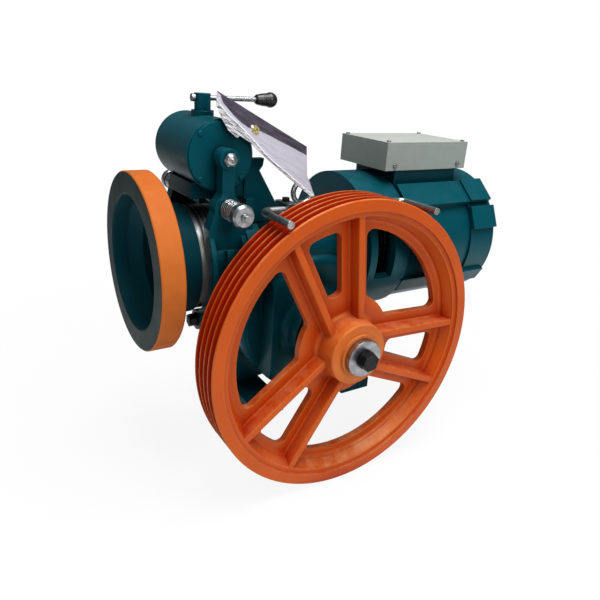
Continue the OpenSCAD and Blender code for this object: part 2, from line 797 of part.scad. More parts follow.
module case_screws() {
    color(teal) {
        on_shaft() {
            mirror([0, 0, 1]) ring_of(cover_screws_n, cover_screw_r, 22.5) translate([0, 0, cover_face])
                hex_screw(screw_r, 34, screw_head_r, screw_head_h);
            ring_of(cap_screws_n, cap_screw_r, 30) {
                rod_along(5.5, boss_end - cap_screw_sink, boss_end - 0.5);
                rod_along(3, boss_face - 11, boss_end - 1);
            }
        }
        on_worm() {
            mirror([0, 0, 1]) {
                ring_of(6, 50, 30) translate([0, 0, case_left + 12])
                    hex_screw(screw_r, 30, screw_head_r, screw_head_h - 1);
                ring_of(6, bracket_screw_r, 30) translate([0, 0, -plate_x0])
                    hex_screw(screw_r, 25, screw_head_r, screw_head_h);
            }
            ring_of(cover_screws_n, bell_screw_r, 22.5) translate([0, 0, bell_x1 - bell_screw_sink])
                hex_screw(screw_r, bell_x1 - bell_split - bell_screw_sink + 11, screw_head_r, screw_head_h);
        }
        for (x = [-120, -82], y = [-30, 30]) translate([x, y, pad_top + 8])
            hex_screw(screw_r, 22, screw_head_r, screw_head_h);
        on_magnet() ring_of(4, magnet_screw_r, 45) {
            rod_along(magnet_thread_r, -20, magnet_len / 2);
            translate([0, 0, magnet_len / 2]) cylinder(r1 = 4.5, r2 = 3.2, h = 2.2);
        }
    }
}

// ---------------------------------------------------------------- worm line

// Ring of the thread's section at turn angle a: two root points and two crest points
function thread_ring(a) = let(
    x = worm_lead * a / 360 - worm_lead / 4,
    half = (worm_lead / 2 - gear_backlash) / 2,
    dedendum = worm_pitch_r - worm_root_r + 1.5,
    top = half - gear_module * flank_tan,
    bottom = half + dedendum * flank_tan) [
        for (p = [[-bottom, -dedendum], [-top, gear_module], [top, gear_module], [bottom, -dedendum]])
            let(r = worm_pitch_r + p[1]) [-r * sin(a), r * cos(a), x + p[0]]];

module worm_thread() {
    rings = 24;
    turns = floor((worm_len - 4) / worm_lead);
    n = turns * rings;
    points = [for (i = [0 : n]) each thread_ring((i - n / 2 + rings / 4) * 360 / rings)];
    faces = concat(
        [[3, 2, 1, 0], [4 * n, 4 * n + 1, 4 * n + 2, 4 * n + 3]],
        [for (i = [0 : n - 1], k = [0 : 3]) let(a = 4 * i + k, b = 4 * i + (k + 1) % 4) [a, b, b + 4, a + 4]]);
    polyhedron(points = points, faces = faces, convexity = 12);
}

module worm_shaft() {
    color(zinc) on_worm() {
        rod_along(worm_shaft_r, -case_left - 30, coupling_mid - 1);
        rod_along(drum_seat_r, hub_face + 6, -case_left - 20);
        rod_along(nut_thread_r, shaft_tip, hub_face + 10);
        rod_along(worm_root_r, -worm_len / 2, worm_len / 2);
        worm_thread();
    }
}

module brake_drum() {
    web_t = 14;
    color(zinc) on_worm() rotate_extrude() polygon([
        [drum_seat_r, track_x0], [drum_r, track_x0], [drum_r, track_x1], [drum_r - 12, track_x1],
        [drum_r - 12, track_x0 + web_t + 6], [drum_r - 18, track_x0 + web_t],
        [drum_seat_r + 20, track_x0 + web_t], [drum_seat_r + 16, track_x1 - 8],
        [drum_seat_r, track_x1 - 8]]);
}

// Rim with a deep bowl that runs on as the painted band beside the brake track
module flywheel() {
    x0 = band_x0 - flywheel_w;
    bowl_r = drum_band_r - 10;
    web = track_x0 - 12;
    color(orange) on_worm() rotate_extrude() polygon(concat(
        [[drum_seat_r, track_x0], [drum_band_r, track_x0], [drum_band_r, band_x0],
         [flywheel_r - 3, band_x0], [flywheel_r, band_x0 - 3], [flywheel_r, x0 + 2],
         [flywheel_r - 2, x0], [flywheel_in_r + 2, x0], [flywheel_in_r, x0 + 2],
         [flywheel_in_r - 5, x0 + 22]],
        arc([flywheel_in_r - 17, x0 + 21], 12, 0, 60, 4),
        [[bowl_r + 1, band_x0 + 6]],
        arc([bowl_r - 14, web - 14], 14, 0, 90, 5),
        [[38, web], [30, hub_face + 2], [28, hub_face], [nut_thread_r, hub_face],
         [nut_thread_r, hub_face + 6], [drum_seat_r, hub_face + 6]]));
}

module flywheel_nut() {
    washer_t = 3;
    color(zinc) on_worm() translate([0, 0, hub_face]) mirror([0, 0, 1]) {
        tube(21, nut_thread_r, 0, washer_t);
        difference() {
            translate([0, 0, washer_t - 0.5]) cylinder(r = 19, h = 14, $fn = 6);
            rod_along(nut_thread_r, 0, 20);
        }
    }
}

// Ribbed disc that joins the worm shaft to the motor's shaft
module coupling() {
    root = coupling_r - 3;
    color(dark) on_worm() difference() {
        union() {
            tube(worm_shaft_r + 12, worm_shaft_r, coupling_x0 - 8, coupling_x0 + coupling_len + 8);
            rotate_extrude() polygon(concat(
                [[worm_shaft_r, coupling_x0], [root, coupling_x0]],
                [for (i = [0 : 3], p = [[coupling_r, 2], [coupling_r, 7], [root, 9]])
                    [p[0], coupling_x0 + coupling_len / 4 * i + p[1]]],
                [[root, coupling_x0 + coupling_len], [worm_shaft_r, coupling_x0 + coupling_len]]));
        }
        for (a = [0 : 30 : 330]) rotate([0, 0, a])
            translate([coupling_r, 0, coupling_x0 - 1]) cylinder(r = 3, h = coupling_len + 2);
    }
}

module rotor() {
    color(grey) on_worm() {
        rod_along(worm_shaft_r, coupling_mid + 1, shield_x1 - 36);
        rod_along(worm_shaft_r - 2, shield_x1 - 40, shield_x1 - 12);
        rod_along(stator_in_r - rotor_gap, stator_x0, stator_x1);
        for (x = [stator_x0 - 8, stator_x1]) tube(stator_in_r - 6, stator_in_r - 20, x - 0.2, x + 8.2);
    }
}

// ---------------------------------------------------------------- motor

tie_angles = [57, 138, 222, 303];

module tie_holes(x0, x1, r) {
    for (a = tie_angles) rotate([0, 0, a]) translate([motor_r - 11, 0, x0]) cylinder(r = r, h = x1 - x0);
}

// Block on the motor's barrel, a degrees from the top, of half width w and rising t above radius r
module motor_lug(a, w, r, t, x0, x1) {
    for (side = [-1, 1]) rotate([0, 0, 180 - side * a])
        translate([r - 5, -w, x0]) cube([t + 5, 2 * w, x1 - x0]);
}

// Outline of the motor's casting between x0 and x1: a barrel with four corner lugs
module motor_outline(r, x0, x1) {
    rod_along(r, x0, x1);
    motor_lug(42, 26, r, lug_t, x0, x1);
    motor_lug(121, 16, r, lug_t - 5, x0, x1);
}

// Ring that closes the lantern and carries the motor
module motor_bell() {
    color(teal) on_worm() difference() {
        rotate_extrude() polygon([[bell_in_r, bell_split], [bell_r, bell_split], [bell_r, bell_x1 - 3],
            [bell_r - 3, bell_x1], [bell_in_r, bell_x1]]);
        ring_of(cover_screws_n, bell_screw_r, 22.5) {
            rod_along(screw_r, bell_split - 1, bell_x1 + 1);
            rod_along(screw_head_r + 1, bell_x1 - bell_screw_sink, bell_x1 + 1);
        }
        tie_holes(bell_x1 - 15, bell_x1 + 1, 4);
    }
}

module motor_casing() {
    color(teal) difference() {
        union() {
            on_worm() motor_outline(motor_r, bell_x1, motor_x1);
            translate([bell_x1 + 3, -60, worm_z + 60]) cube([motor_len - 6, 120, box_z - worm_z - 60]);
        }
        on_worm() {
            rod_along(motor_r - 19, bell_x1 - 1, motor_x1 + 1);
            tie_holes(bell_x1 - 1, motor_x1 + 1, 4);
        }
        translate([box_x0 + 50, 0, 0]) rod_along(14, worm_z + 60, box_z + 1);
    }
}

module stator() {
    color(grey) on_worm() difference() {
        union() {
            rod_along(motor_r - 19, stator_x0, stator_x1);
            rod_along(motor_r - 31, stator_x0 - 14, stator_x1 + 12);
        }
        rod_along(stator_in_r, stator_x0 - 15, stator_x1 + 13);
    }
}

module end_shield() {
    color(teal) on_worm() difference() {
        union() {
            motor_outline(motor_r + 4, motor_x1, shield_x1 - 12);
            motor_lug(66, 23, motor_r + 4, lug_t - 5, motor_x1, shield_x1 - 4);
            rotate_extrude() polygon([[0, motor_x1 + 1], [motor_r + 4, motor_x1 + 1],
                [motor_r + 4, shield_x1 - 4], [motor_r, shield_x1], [0, shield_x1]]);
        }
        rod_along(motor_r - 21, motor_x1 - 1, shield_x1 - 30);
        rod_along(36, shield_x1 - 35, shield_x1 - 14);
        rod_along(20, shield_x1 - 20, shield_x1 - 8);
        tie_holes(motor_x1 - 1, shield_x1 + 1, 4);
        tie_holes(shield_x1 - 12, shield_x1 + 1, 9);
    }
}

module tie_bolts() {
    color(zinc) on_worm() for (a = tie_angles) rotate([0, 0, a])
        translate([motor_r - 11, 0, shield_x1 - 12]) hex_screw(4, shield_len + motor_len + 2, 7.5, 6);
}

module terminal_box() {
    body_h = box_h - lid_h;
    color(grey) translate([box_x0 - 32, -box_w / 2, box_z]) difference() {
        cube([box_l, box_w, body_h]);
        translate([box_t, box_t, box_t]) cube([box_l - 2 * box_t, box_w - 2 * box_t, body_h]);
        translate([82, box_w / 2, 0]) rod_along(14, -1, box_t + 1);
        translate([box_l / 2, box_w + 1, body_h / 2]) rotate([90, 0, 0]) rod_along(entry_d / 2, 0, box_t + 2);
    }
}

// Corners of the lid where its screws sit
module at_lid_corners() {
    for (x = [box_screw_in, box_l - box_screw_in], y = [box_screw_in, box_w - box_screw_in])
        translate([box_x0 - 32 + x, y - box_w / 2, 0]) children();
}

// Flat lid with a rim that drops inside the box
module terminal_lid() {
    inset = 2 * box_t + 0.5;
    color(grey) difference() {
        translate([box_x0 - 32, -box_w / 2, box_z + box_h - lid_h]) {
            cube([box_l, box_w, lid_h]);
            translate([inset, inset, -8]) difference() {
                cube([box_l - 2 * inset, box_w - 2 * inset, 9]);
                translate([box_t, box_t, -1])
                    cube([box_l - 2 * inset - 2 * box_t, box_w - 2 * inset - 2 * box_t, 9]);
            }
        }
        at_lid_corners() rod_along(2, box_z + box_h - lid_h - 1, box_z + box_h + 1);
    }
}

module lid_screws() {
    color(zinc) {
        at_lid_corners() {
            rod_along(4, box_z + box_h, box_z + box_h + 2.5);
            rod_along(2, box_z + box_h - 30, box_z + box_h + 0.5);
        }
        for (x = [22, box_l - 22]) translate([box_x0 - 32 + x, -box_w / 2, box_z + 9]) rotate([90, 0, 0])
            rod_along(4.5, 0, 3);
    }
}

module terminal_block() {
    ways = 4;
    block_h = 16;
    color(dark) translate([box_x0 - 32 + box_l - block_l - 24, -block_w / 2, box_z + box_t]) difference() {
        cube([block_l, block_w, block_h]);
        for (i = [0 : ways - 1]) translate([10 + 16 * i, -1, block_h - 6]) cube([8, block_w + 2, 7]);
    }
}

// ---------------------------------------------------------------- brake

// Local +Z points out of the sheave's face; the origin is on the magnet's axis.
module on_magnet() {
    translate([-brake_x, 0, magnet_z]) rotate([90, 0, 0]) children();
}

// A flat shape in the part's Y-Z plane made x1 - x0 thick
module slab_x(x0, x1) {
    translate([x0, 0, 0]) rotate([90, 0, 90]) linear_extrude(height = x1 - x0) children();
}

module sector_shape(r0, r1, a0, a1) {
    polygon(concat(arc([0, worm_z], r1, a0, a1, 20), arc([0, worm_z], r0, a1, a0, 20)));
}

// Part of the space round the drum between two angles, measured from the horizontal
module drum_wedge(a0, a1, x0, x1) {
    reach = 200;
    slab_x(x0, x1) polygon(concat([[0, worm_z]], [for (a = [a0, a1]) [0, worm_z] + polar(reach, a)]));
}

// Shell between two radii of the drum, cut to a wedge
module drum_shell(r_in, r_out, a0, a1, x0, x1) {
    intersection() {
        on_worm() tube(r_out, r_in, x0, x1);
        drum_wedge(a0, a1, x0 - 1, x1 + 1);
    }
}

module brake_bracket() {
    lug_x1 = track_x1 + 1;
    color(teal) difference() {
        union() {
            slab_x(plate_x0, plate_x1) union() {
                translate([0, worm_z]) circle(r = 84);
                translate([-62, pin_z - 12]) square([124, stud_z + 16 - pin_z]);
            }
            for (y = [-pin_y, pin_y])
                translate([0, y, pin_z]) rotate([0, 90, 0]) rod_along(18, lug_x1, plate_x0 + 1);
            translate([-brake_x - 40, -48, stud_z + 6]) cube([brake_x + 40 + plate_x0 + 1, 96, 26]);
            translate([-brake_x - 12, -14, stud_z - 10.5]) cube([24, 28, 18]);
            for (y = [-51, 39]) translate([0, y, 0]) translate([0, 12, 0]) rotate([90, 0, 0])
                linear_extrude(height = 12) polygon([
                    [plate_x0 + 1, stud_z + 8], [plate_x0 + 1, stud_z - 30], [-72, pad_top + 8 - 1],
                    [-72, pad_top + 12], [-80, pad_top + 20], [-120, magnet_z - 28], [-114, magnet_z - 20],
                    [-112, magnet_z - 8], [-146, magnet_z - 8]]);
            translate([plate_x1 - 1, -51, pad_top]) cube([66, 102, 8]);
        }
        on_magnet() rod_along(magnet_r, -100, 100);
        on_worm() rod_along(60, plate_x0 - 1, plate_x1 + 1);
        on_worm() ring_of(6, bracket_screw_r, 30) rod_along(screw_r, plate_x0 - 1, plate_x1 + 1);
        for (y = [-pin_y, pin_y])
            translate([0, y, pin_z]) rotate([0, 90, 0]) rod_along(pin_r, track_x1 - 5, plate_x1 + 1);
        translate([-brake_x, 0, stud_z]) rotate([90, 0, 0]) rod_along(stud_r, -20, 20);
        for (x = [-120, -82], y = [-30, 30])
            translate([x, y, 0]) rod_along(screw_r, pad_top - 1, pad_top + 9);
    }
}

module arm_pins() {
    color(dark) for (y = [-pin_y, pin_y]) translate([0, y, pin_z]) rotate([0, 90, 0]) {
        rod_along(pin_r, arm_x0 - 14, plate_x0 + 13);
        translate([0, 0, arm_x0 - 13]) cylinder(r = pin_r * 1.5, h = 11, $fn = 6);
        rod_along(pin_r * 1.6, arm_x0 - 2, arm_x0 - 0.3);
    }
}

// The arm on the far side; the near one is its mirror image
module brake_arm() {
    mid = arm_x0 + arm_w / 2;
    difference() {
        union() {
            slab_x(arm_x0, arm_x1) sector_shape(shoe_r - 1, shoe_out_r, -62, 38);
            for (x = [arm_x0, arm_x1 - 8]) slab_x(x, x + 8) sector_shape(shoe_out_r - 1, shoe_out_r + 9, -46, 34);
            slab_x(mid - 6, mid + 6) sector_shape(shoe_out_r - 1, shoe_out_r + 12, -50, 20);
            translate([0, pin_y, pin_z]) rotate([0, 90, 0]) rod_along(18, arm_x0, arm_x1);
            translate([mid, arm_out, 0]) rotate([90, 0, 0]) linear_extrude(height = arm_out - arm_in) {
                polygon([[-arm_w / 2, worm_z + 40], [arm_w / 2, worm_z + 40], [arm_w / 2, stud_z - 32],
                         [24, stud_z - 12], [20, stud_z], [10, stud_z + 24], [10, magnet_z],
                         [-10, magnet_z], [-10, stud_z + 24], [-20, stud_z], [-24, stud_z - 12],
                         [-arm_w / 2, stud_z - 32]]);
                translate([0, stud_z]) circle(r = 22);
            }
            translate([mid, arm_out + 3, magnet_z]) rotate([90, 0, 0]) rod_along(16, 0, arm_out + 3 - arm_in);
        }
        on_worm() {
            rod_along(drum_r + 1.2, arm_x0 - 1, arm_x1 + 1);
        }
        intersection() {
            on_worm() rod_along(shoe_r, arm_x0 - 1, arm_x1 + 1);
            drum_wedge(-45, 46, arm_x0 - 2, arm_x1 + 2);
        }
        translate([0, pin_y, pin_z]) rotate([0, 90, 0]) rod_along(pin_r + run_gap, arm_x0 - 1, arm_x1 + 1);
        translate([mid, 0, stud_z]) rotate([-90, 0, 0]) rod_along(stud_r + pass_gap, arm_in - 1, arm_out + 1);
        translate([mid, 0, magnet_z]) rotate([-90, 0, 0]) {
            rod_along(plunger_r + pass_gap, arm_in - 1, adjuster_tip + 1);
            rod_along(6, arm_in, arm_out + 5);
        }
    }
}

module arm_rear() {
    color(teal) brake_arm();
}

module arm_front() {
    color(teal) mirror([0, 1, 0]) brake_arm();
}

module lining() {
    drum_shell(drum_r + lining_gap, shoe_r, -42, 36, arm_x0 + 1, arm_x1 - 1);
}

module lining_rear() {
    color(dark) lining();
}

module lining_front() {
    color(dark) mirror([0, 1, 0]) lining();
}

module adjuster() {
    translate([arm_x0 + arm_w / 2, 0, magnet_z]) rotate([-90, 0, 0]) {
        rod_along(6, adjuster_tip, arm_out + 4);
        translate([0, 0, arm_out + 3]) cylinder(r = 11, h = 5, $fn = 6);
        rotate_extrude() polygon(concat([[0, arm_out + 7], [9, arm_out + 7]],
            arc([5, arm_out + 9], 4, 0, 90, 4), [[3, arm_out + 14], [2, arm_out + 16], [0, arm_out + 16]]));
    }
}

module adjuster_rear() {
    color(zinc) adjuster();
}

module adjuster_front() {
    color(zinc) mirror([0, 1, 0]) adjuster();
}

// Half of the magnet's body, from its middle seam outwards
module magnet_shell(v0, v1) {
    difference() {
        union() {
            rod_along(magnet_r, v0, v1 - 3);
            rod_along(magnet_r - 2.5, v1 - 4, v1);
        }
        rod_along(coil_out_r - 3, v0 - 1, magnet_len / 2 - 15.5);
        rod_along(plunger_r + run_gap, v1 - 20, v1 + 1);
    }
}

seam_v = 14;
magnet_screw_r = magnet_r - 7;
magnet_thread_r = 2.5;

module magnet_cover() {
    color(teal) on_magnet() difference() {
        magnet_shell(seam_v, magnet_len / 2);
        ring_of(4, magnet_screw_r, 45) rod_along(magnet_thread_r, seam_v - 1, magnet_len / 2 + 1);
    }
}

module magnet_case() {
    color(teal) difference() {
        on_magnet() difference() {
            union() {
                mirror([0, 0, 1]) magnet_shell(0, magnet_len / 2);
                difference() {
                    rod_along(magnet_r, -1, seam_v);
                    rod_along(coil_out_r - 3, -2, seam_v + 1);
                }
            }
            ring_of(4, magnet_screw_r, 45) rod_along(magnet_thread_r, -30, seam_v + 1);
        }
        translate([-brake_x, 0, 0]) rod_along(7 + run_gap, magnet_z + 20, magnet_z + 70);
    }
}

module magnet_coil() {
    color("#7a4a22") on_magnet() for (side = [-1, 1]) scale([1, 1, side])
        tube(coil_out_r - 3, plunger_r + 3, seam_v + 2, magnet_len / 2 - 15.5);
}

module plunger() {
    rod_along(plunger_r, plunger_in, adjuster_tip - 0.4);
}

module plunger_front() {
    color(zinc) on_magnet() plunger();
}

module plunger_rear() {
    color(zinc) on_magnet() mirror([0, 0, 1]) plunger();
}

module release_post() {
    color(teal) translate([-brake_x, 0, 0]) {
        difference() {
            rod_along(post_r, magnet_z + magnet_r + 6.7, rod_z + 7);
            translate([0, 0, rod_z]) rotate([0, 90, 0]) rod_along(4, -20, 20);
        }
        rod_along(7, magnet_z + 15, magnet_z + magnet_r + 7);
        intersection() {
            translate([-cam_w / 2, -cam_half, magnet_z - 16]) cube([cam_w, 2 * cam_half, 32]);
            rod_along(6, magnet_z - 16, magnet_z + 16);
        }
    }
}

module release_rod() {
    color(zinc) translate([-brake_x, 0, rod_z]) rotate([0, 90, 0]) {
        rod_along(4, -16, rod_len);
        rod_along(6, -19, -post_r - 0.5);
    }
}

module release_knob() {
    x0 = rod_len - 1;
    color(dark) translate([-brake_x, 0, rod_z]) rotate([0, 90, 0]) difference() {
        rotate_extrude() polygon(concat(
            [[0, x0], [knob_r - 6, x0], [knob_r - 4.5, x0 + 2], [knob_r - 2.5, x0 + 12]],
            arc([0, x0 + 28], knob_r, -30, 90, 10)));
        rod_along(4, x0 - 1, rod_len);
    }
}

module release_collar() {
    color(teal) difference() {
        translate([-brake_x, 0, 0]) rod_along(18, magnet_z + magnet_r - 5, magnet_z + magnet_r + 6.4);
        on_magnet() rod_along(magnet_r, -30, 30);
        translate([-brake_x, 0, 0]) rod_along(7 + run_gap, magnet_z + 20, magnet_z + 70);
    }
}

module spring_studs() {
    reach = arm_out + spring_len + cap_len + 3;
    color(zinc) translate([-brake_x, 0, stud_z]) rotate([90, 0, 0]) {
        rod_along(stud_r, -reach, reach);
        rod_along(stud_r - 2, -reach - 7, reach + 7);
    }
}

module spring_caps() {
    base = arm_out + spring_len;
    color(zinc) translate([-brake_x, 0, stud_z]) for (side = [-90, 90]) rotate([side, 0, 0])
        rotate_extrude() polygon([[stud_r, base], [spring_r + 2, base], [spring_r + 3, base + 1],
            [spring_r + 3, base + cap_len - 5], [spring_r, base + cap_len], [stud_r, base + cap_len]]);
}

// Closed-end compression spring as a swept round wire
module coil_spring(len, r, wire, turns) {
    sides = 8;
    steps = 20;
    n = turns * steps;
    points = [for (i = [0 : n], k = [0 : sides - 1]) let(
        a = 360 * i / steps, b = 360 * k / sides, rr = r + wire / 2 * cos(b))
        [rr * cos(a), rr * sin(a), wire / 2 + (len - wire) * i / n + wire / 2 * sin(b)]];
    faces = concat(
        [[for (k = [0 : sides - 1]) sides - 1 - k], [for (k = [0 : sides - 1]) sides * n + k]],
        [for (i = [0 : n - 1], k = [0 : sides - 1]) let(a = sides * i + k, b = sides * i + (k + 1) % sides)
            [a, b, b + sides, a + sides]]);
    polyhedron(points = points, faces = faces, convexity = 8);
}

module spring_front() {
    color(zinc) translate([-brake_x, -arm_out, stud_z]) rotate([90, 0, 0])
        coil_spring(spring_len, spring_r - 0.5, spring_wire, 6);
}

module spring_rear() {
    color(zinc) mirror([0, 1, 0]) translate([-brake_x, -arm_out, stud_z]) rotate([90, 0, 0])
        coil_spring(spring_len, spring_r - 0.5, spring_wire, 6);
}

// ---------------------------------------------------------------- rope guards and sleeve

// Rod bent once: along the sheave's rim, then inwards to its clamp
module guard_rod(inner) {
    y1 = -guard_back - guard_bend;
    translate([-guard_x, y1, guard_z]) rotate([90, 0, 0]) rod_along(guard_r, 0, guard_front + y1);
    translate([guard_bend - guard_x, y1, guard_z]) rotate([0, 0, 90]) rotate_extrude(angle = 90)
        translate([guard_bend, 0]) circle(r = guard_r, $fn = 32);
    translate([0, -guard_back, guard_z]) rotate([0, 90, 0]) rod_along(guard_r, guard_bend - guard_x, inner);
}

module guard_left() {
    color(zinc) guard_rod(clamp_x[0] + clamp_w / 2 + 4);
}

module guard_right() {
    color(zinc) mirror([1, 0, 0]) guard_rod(clamp_w / 2 - clamp_x[1] - 4);
}

module guard_clamps() {
    color(zinc) for (x = clamp_x) difference() {
        union() {
            translate([x - clamp_w / 2, -104, worm_z + 30]) cube([clamp_w, 12, guard_z - worm_z - 30]);
            translate([x - clamp_w / 2, -guard_back - 10, guard_z - 10]) cube([clamp_w, guard_back - 82, 20]);
        }
        translate([x, -guard_back, guard_z]) rotate([0, 90, 0]) rod_along(guard_r, -20, 20);
        translate([x, 0, worm_z + 40]) rotate([90, 0, 0]) rod_along(screw_r, 90, 105);
        translate([x, -99, 0]) rod_along(3.5, guard_z - 15, guard_z + 11);
    }
}

module guard_nuts() {
    color(dark) for (x = clamp_x) {
        translate([x, -104, worm_z + 40]) rotate([90, 0, 0]) hex_screw(screw_r, 30, screw_head_r, screw_head_h);
        translate([x, -99, guard_z + 10]) hex_screw(3.5, 24, 7, 6);
    }
}

// Flat wallet leaning on the magnet's edge, with one corner drawn out to a point
module document_sleeve() {
    top = sleeve_len;
    low = -sleeve_h;
    color("#d8d8d2") translate([-brake_x - 5.3, -66, magnet_z + 94.2]) rotate([0, 26.7, 0])
        rotate([-20.75, 0, 0]) rotate([90, 0, 0]) linear_extrude(height = 3) polygon([
            [0, 0], [top, 0], [top + 15, low + 26], [top + 40, low], [top + 34, low - 5],
            [top - 9, low + 3], [top - 51, low + 11], [top - 76, low + 17], [top - 106, low + 25],
            [56, low + 27], [53, low + 21], [35, low + 25], [18, low + 37], [3, low + 54]]);
}

gear_housing();
front_cover();
rear_cover();
worm_cover();
shaft_seal();
main_bearings();
worm_bearings();
breather();
oil_gauge();
drain_plug();
lifting_eye();
case_screws();
motor_bell();
motor_casing();
stator();
end_shield();
tie_bolts();
terminal_box();
terminal_lid();
lid_screws();
terminal_block();
brake_bracket();
arm_pins();
magnet_case();
magnet_cover();
magnet_coil();
spring_studs();
spring_caps();
spring_front();
spring_rear();
release_collar();
guard_left();
guard_right();
guard_clamps();
guard_nuts();
document_sleeve();
main_shaft();
worm_wheel_hub();
worm_wheel_ring();
shaft_keys();
sheave();
end_washer();
end_bolt();
worm_shaft();
brake_drum();
flywheel();
flywheel_nut();
coupling();
rotor();
arm_front();
arm_rear();
lining_front();
lining_rear();
adjuster_front();
adjuster_rear();
plunger_front();
plunger_rear();
release_post();
release_rod();
release_knob();
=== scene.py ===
# %% [markdown]
# # Elevator traction machine
# A geared hoisting machine: a worm gearbox turns the big rope sheave, a flange motor drives the
# worm, and a drum brake with a heavy flywheel stops it. The solids come from the CAD model, so
# this file dresses them: paint, bare metal, film and light. Everything stays in metres and in
# the CAD frame, with +X along the worm, -Y out of the sheave's face and +Z up.

# %% Load the frame
import json
import math

import bpy
import numpy as np
from mathutils import Matrix, Vector

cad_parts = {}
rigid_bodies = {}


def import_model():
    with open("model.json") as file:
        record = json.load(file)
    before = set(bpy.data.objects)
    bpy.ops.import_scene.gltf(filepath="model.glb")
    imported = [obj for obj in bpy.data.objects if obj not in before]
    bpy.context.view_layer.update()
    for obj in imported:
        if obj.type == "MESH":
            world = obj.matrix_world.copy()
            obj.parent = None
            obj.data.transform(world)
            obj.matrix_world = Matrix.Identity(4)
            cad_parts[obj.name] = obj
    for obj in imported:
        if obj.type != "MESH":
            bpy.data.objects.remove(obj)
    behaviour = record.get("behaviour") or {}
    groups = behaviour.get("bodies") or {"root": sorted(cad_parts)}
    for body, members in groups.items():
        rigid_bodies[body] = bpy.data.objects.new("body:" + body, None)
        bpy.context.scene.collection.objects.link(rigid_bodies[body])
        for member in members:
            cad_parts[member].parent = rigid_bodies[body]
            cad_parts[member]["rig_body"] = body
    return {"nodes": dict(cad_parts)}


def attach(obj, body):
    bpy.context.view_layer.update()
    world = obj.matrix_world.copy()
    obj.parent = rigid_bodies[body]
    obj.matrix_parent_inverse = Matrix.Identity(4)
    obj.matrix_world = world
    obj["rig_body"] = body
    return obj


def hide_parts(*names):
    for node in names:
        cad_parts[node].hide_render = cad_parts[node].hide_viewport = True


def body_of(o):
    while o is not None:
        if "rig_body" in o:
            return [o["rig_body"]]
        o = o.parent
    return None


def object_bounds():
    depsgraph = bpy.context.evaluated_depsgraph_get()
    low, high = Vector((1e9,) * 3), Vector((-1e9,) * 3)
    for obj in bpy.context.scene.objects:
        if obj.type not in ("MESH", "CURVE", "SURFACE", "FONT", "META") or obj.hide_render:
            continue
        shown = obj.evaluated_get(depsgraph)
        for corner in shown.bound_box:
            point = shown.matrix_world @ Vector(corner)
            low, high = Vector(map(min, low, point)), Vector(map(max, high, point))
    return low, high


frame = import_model()
nodes = frame["nodes"]
cad_low, cad_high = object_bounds()
print("frame:", len(nodes), "solids, from", *(round(v, 3) for v in cad_low), "to",
      *(round(v, 3) for v in cad_high))

# %% [markdown]
# ## Camera
# The machine stands at chest height and is looked at from its front left, a little from above.
# Its direction, lens and place are written out, because a lens this close to the object shows
# strong perspective, and a few degrees of roll are easy to see on the terminal box.

# %% Camera
EYE = (-0.58003, -0.90128, 0.61787)
ROLL_DEGREES = 3.86
forward = Vector((0.50896523, 0.77600557, -0.37251811)).normalized()
level_right = forward.cross(Vector((0, 0, 1))).normalized()
level_up = level_right.cross(forward)
roll = math.radians(ROLL_DEGREES)
cam_x = level_right * math.cos(roll) + level_up * math.sin(roll)
cam_y = level_up * math.cos(roll) - level_right * math.sin(roll)
camera_data = bpy.data.cameras.new("camera")
camera_data.lens = 34.381
camera_data.sensor_width = 36
camera_data.clip_start, camera_data.clip_end = 0.05, 60
camera = bpy.data.objects.new("camera", camera_data)
bpy.context.scene.collection.objects.link(camera)
camera.matrix_world = Matrix.Translation(EYE) @ Matrix(
    (cam_x, cam_y, -forward)).transposed().to_4x4()
bpy.context.scene.camera = camera
print("camera: lens", camera_data.lens, "mm at", [round(v, 3) for v in camera.location])

# %% [markdown]
# ## Node trees as text
# A material is a small graph. Bench writes one: put() sets a socket, or links it where it is
# given another socket, and add() makes a node with its properties and sockets. The other
# methods are the nodes used most. That keeps each finish below to a few readable lines.

# %% Bench for node trees
class Bench:
    def __init__(self, tree):
        self.tree = tree

    def put(self, socket, value):
        if isinstance(value, bpy.types.NodeSocket):
            self.tree.links.new(value, socket)
        else:
            socket.default_value = value

    def add(self, kind, sockets=None, **settings):
        node = self.tree.nodes.new("ShaderNode" + kind)
        for key, value in settings.items():
            setattr(node, key, value)
        for key, value in (sockets or {}).items():
            self.put(node.inputs[key], value)
        return node

    def math(self, operation, a, b=0.0, c=0.0, clamp=False):
        return self.add("Math", {0: a, 1: b, 2: c}, operation=operation, use_clamp=clamp).outputs[0]

    def mix(self, factor, a, b):
        return self.add("Mix", {0: factor, 6: a, 7: b}, data_type="RGBA", clamp_result=True).outputs[2]

    def ramp(self, value, low, high, out_low=0.0, out_high=1.0):
        return self.add("MapRange", {"Value": value, "From Min": low, "From Max": high,
                                     "To Min": out_low, "To Max": out_high}, clamp=True).outputs[0]

    def noise(self, where, scale, detail=3.0, rough=0.5):
        return self.add("TexNoise", {"Vector": where, "Scale": scale, "Detail": detail,
                                     "Roughness": rough}).outputs["Fac"]

    def place(self):
        return self.add("TexCoord").outputs["Object"]


def rgb(r, g, b):
    """Colour from 0-255 display values, turned linear by the usual display curve."""
    lin = [c / 12.92 if c <= 0.04045 else ((c + 0.055) / 1.055) ** 2.4 for c in (r / 255, g / 255, b / 255)]
    return (*lin, 1.0)


def effect(name, inputs, outputs):
    """Starts a shader node group: inputs and outputs are (name, kind, default) rows."""
    tree = bpy.data.node_groups.new(name, "ShaderNodeTree")
    for row in inputs:
        socket = tree.interface.new_socket(name=row[0], in_out="INPUT", socket_type="NodeSocket" + row[1])
        socket.default_value = row[2]
    for row in outputs:
        tree.interface.new_socket(name=row[0], in_out="OUTPUT", socket_type="NodeSocket" + row[1])
    bench = Bench(tree)
    source = tree.nodes.new("NodeGroupInput").outputs
    sink = tree.nodes.new("NodeGroupOutput").inputs
    return tree, bench, source, sink


print("bench ready")

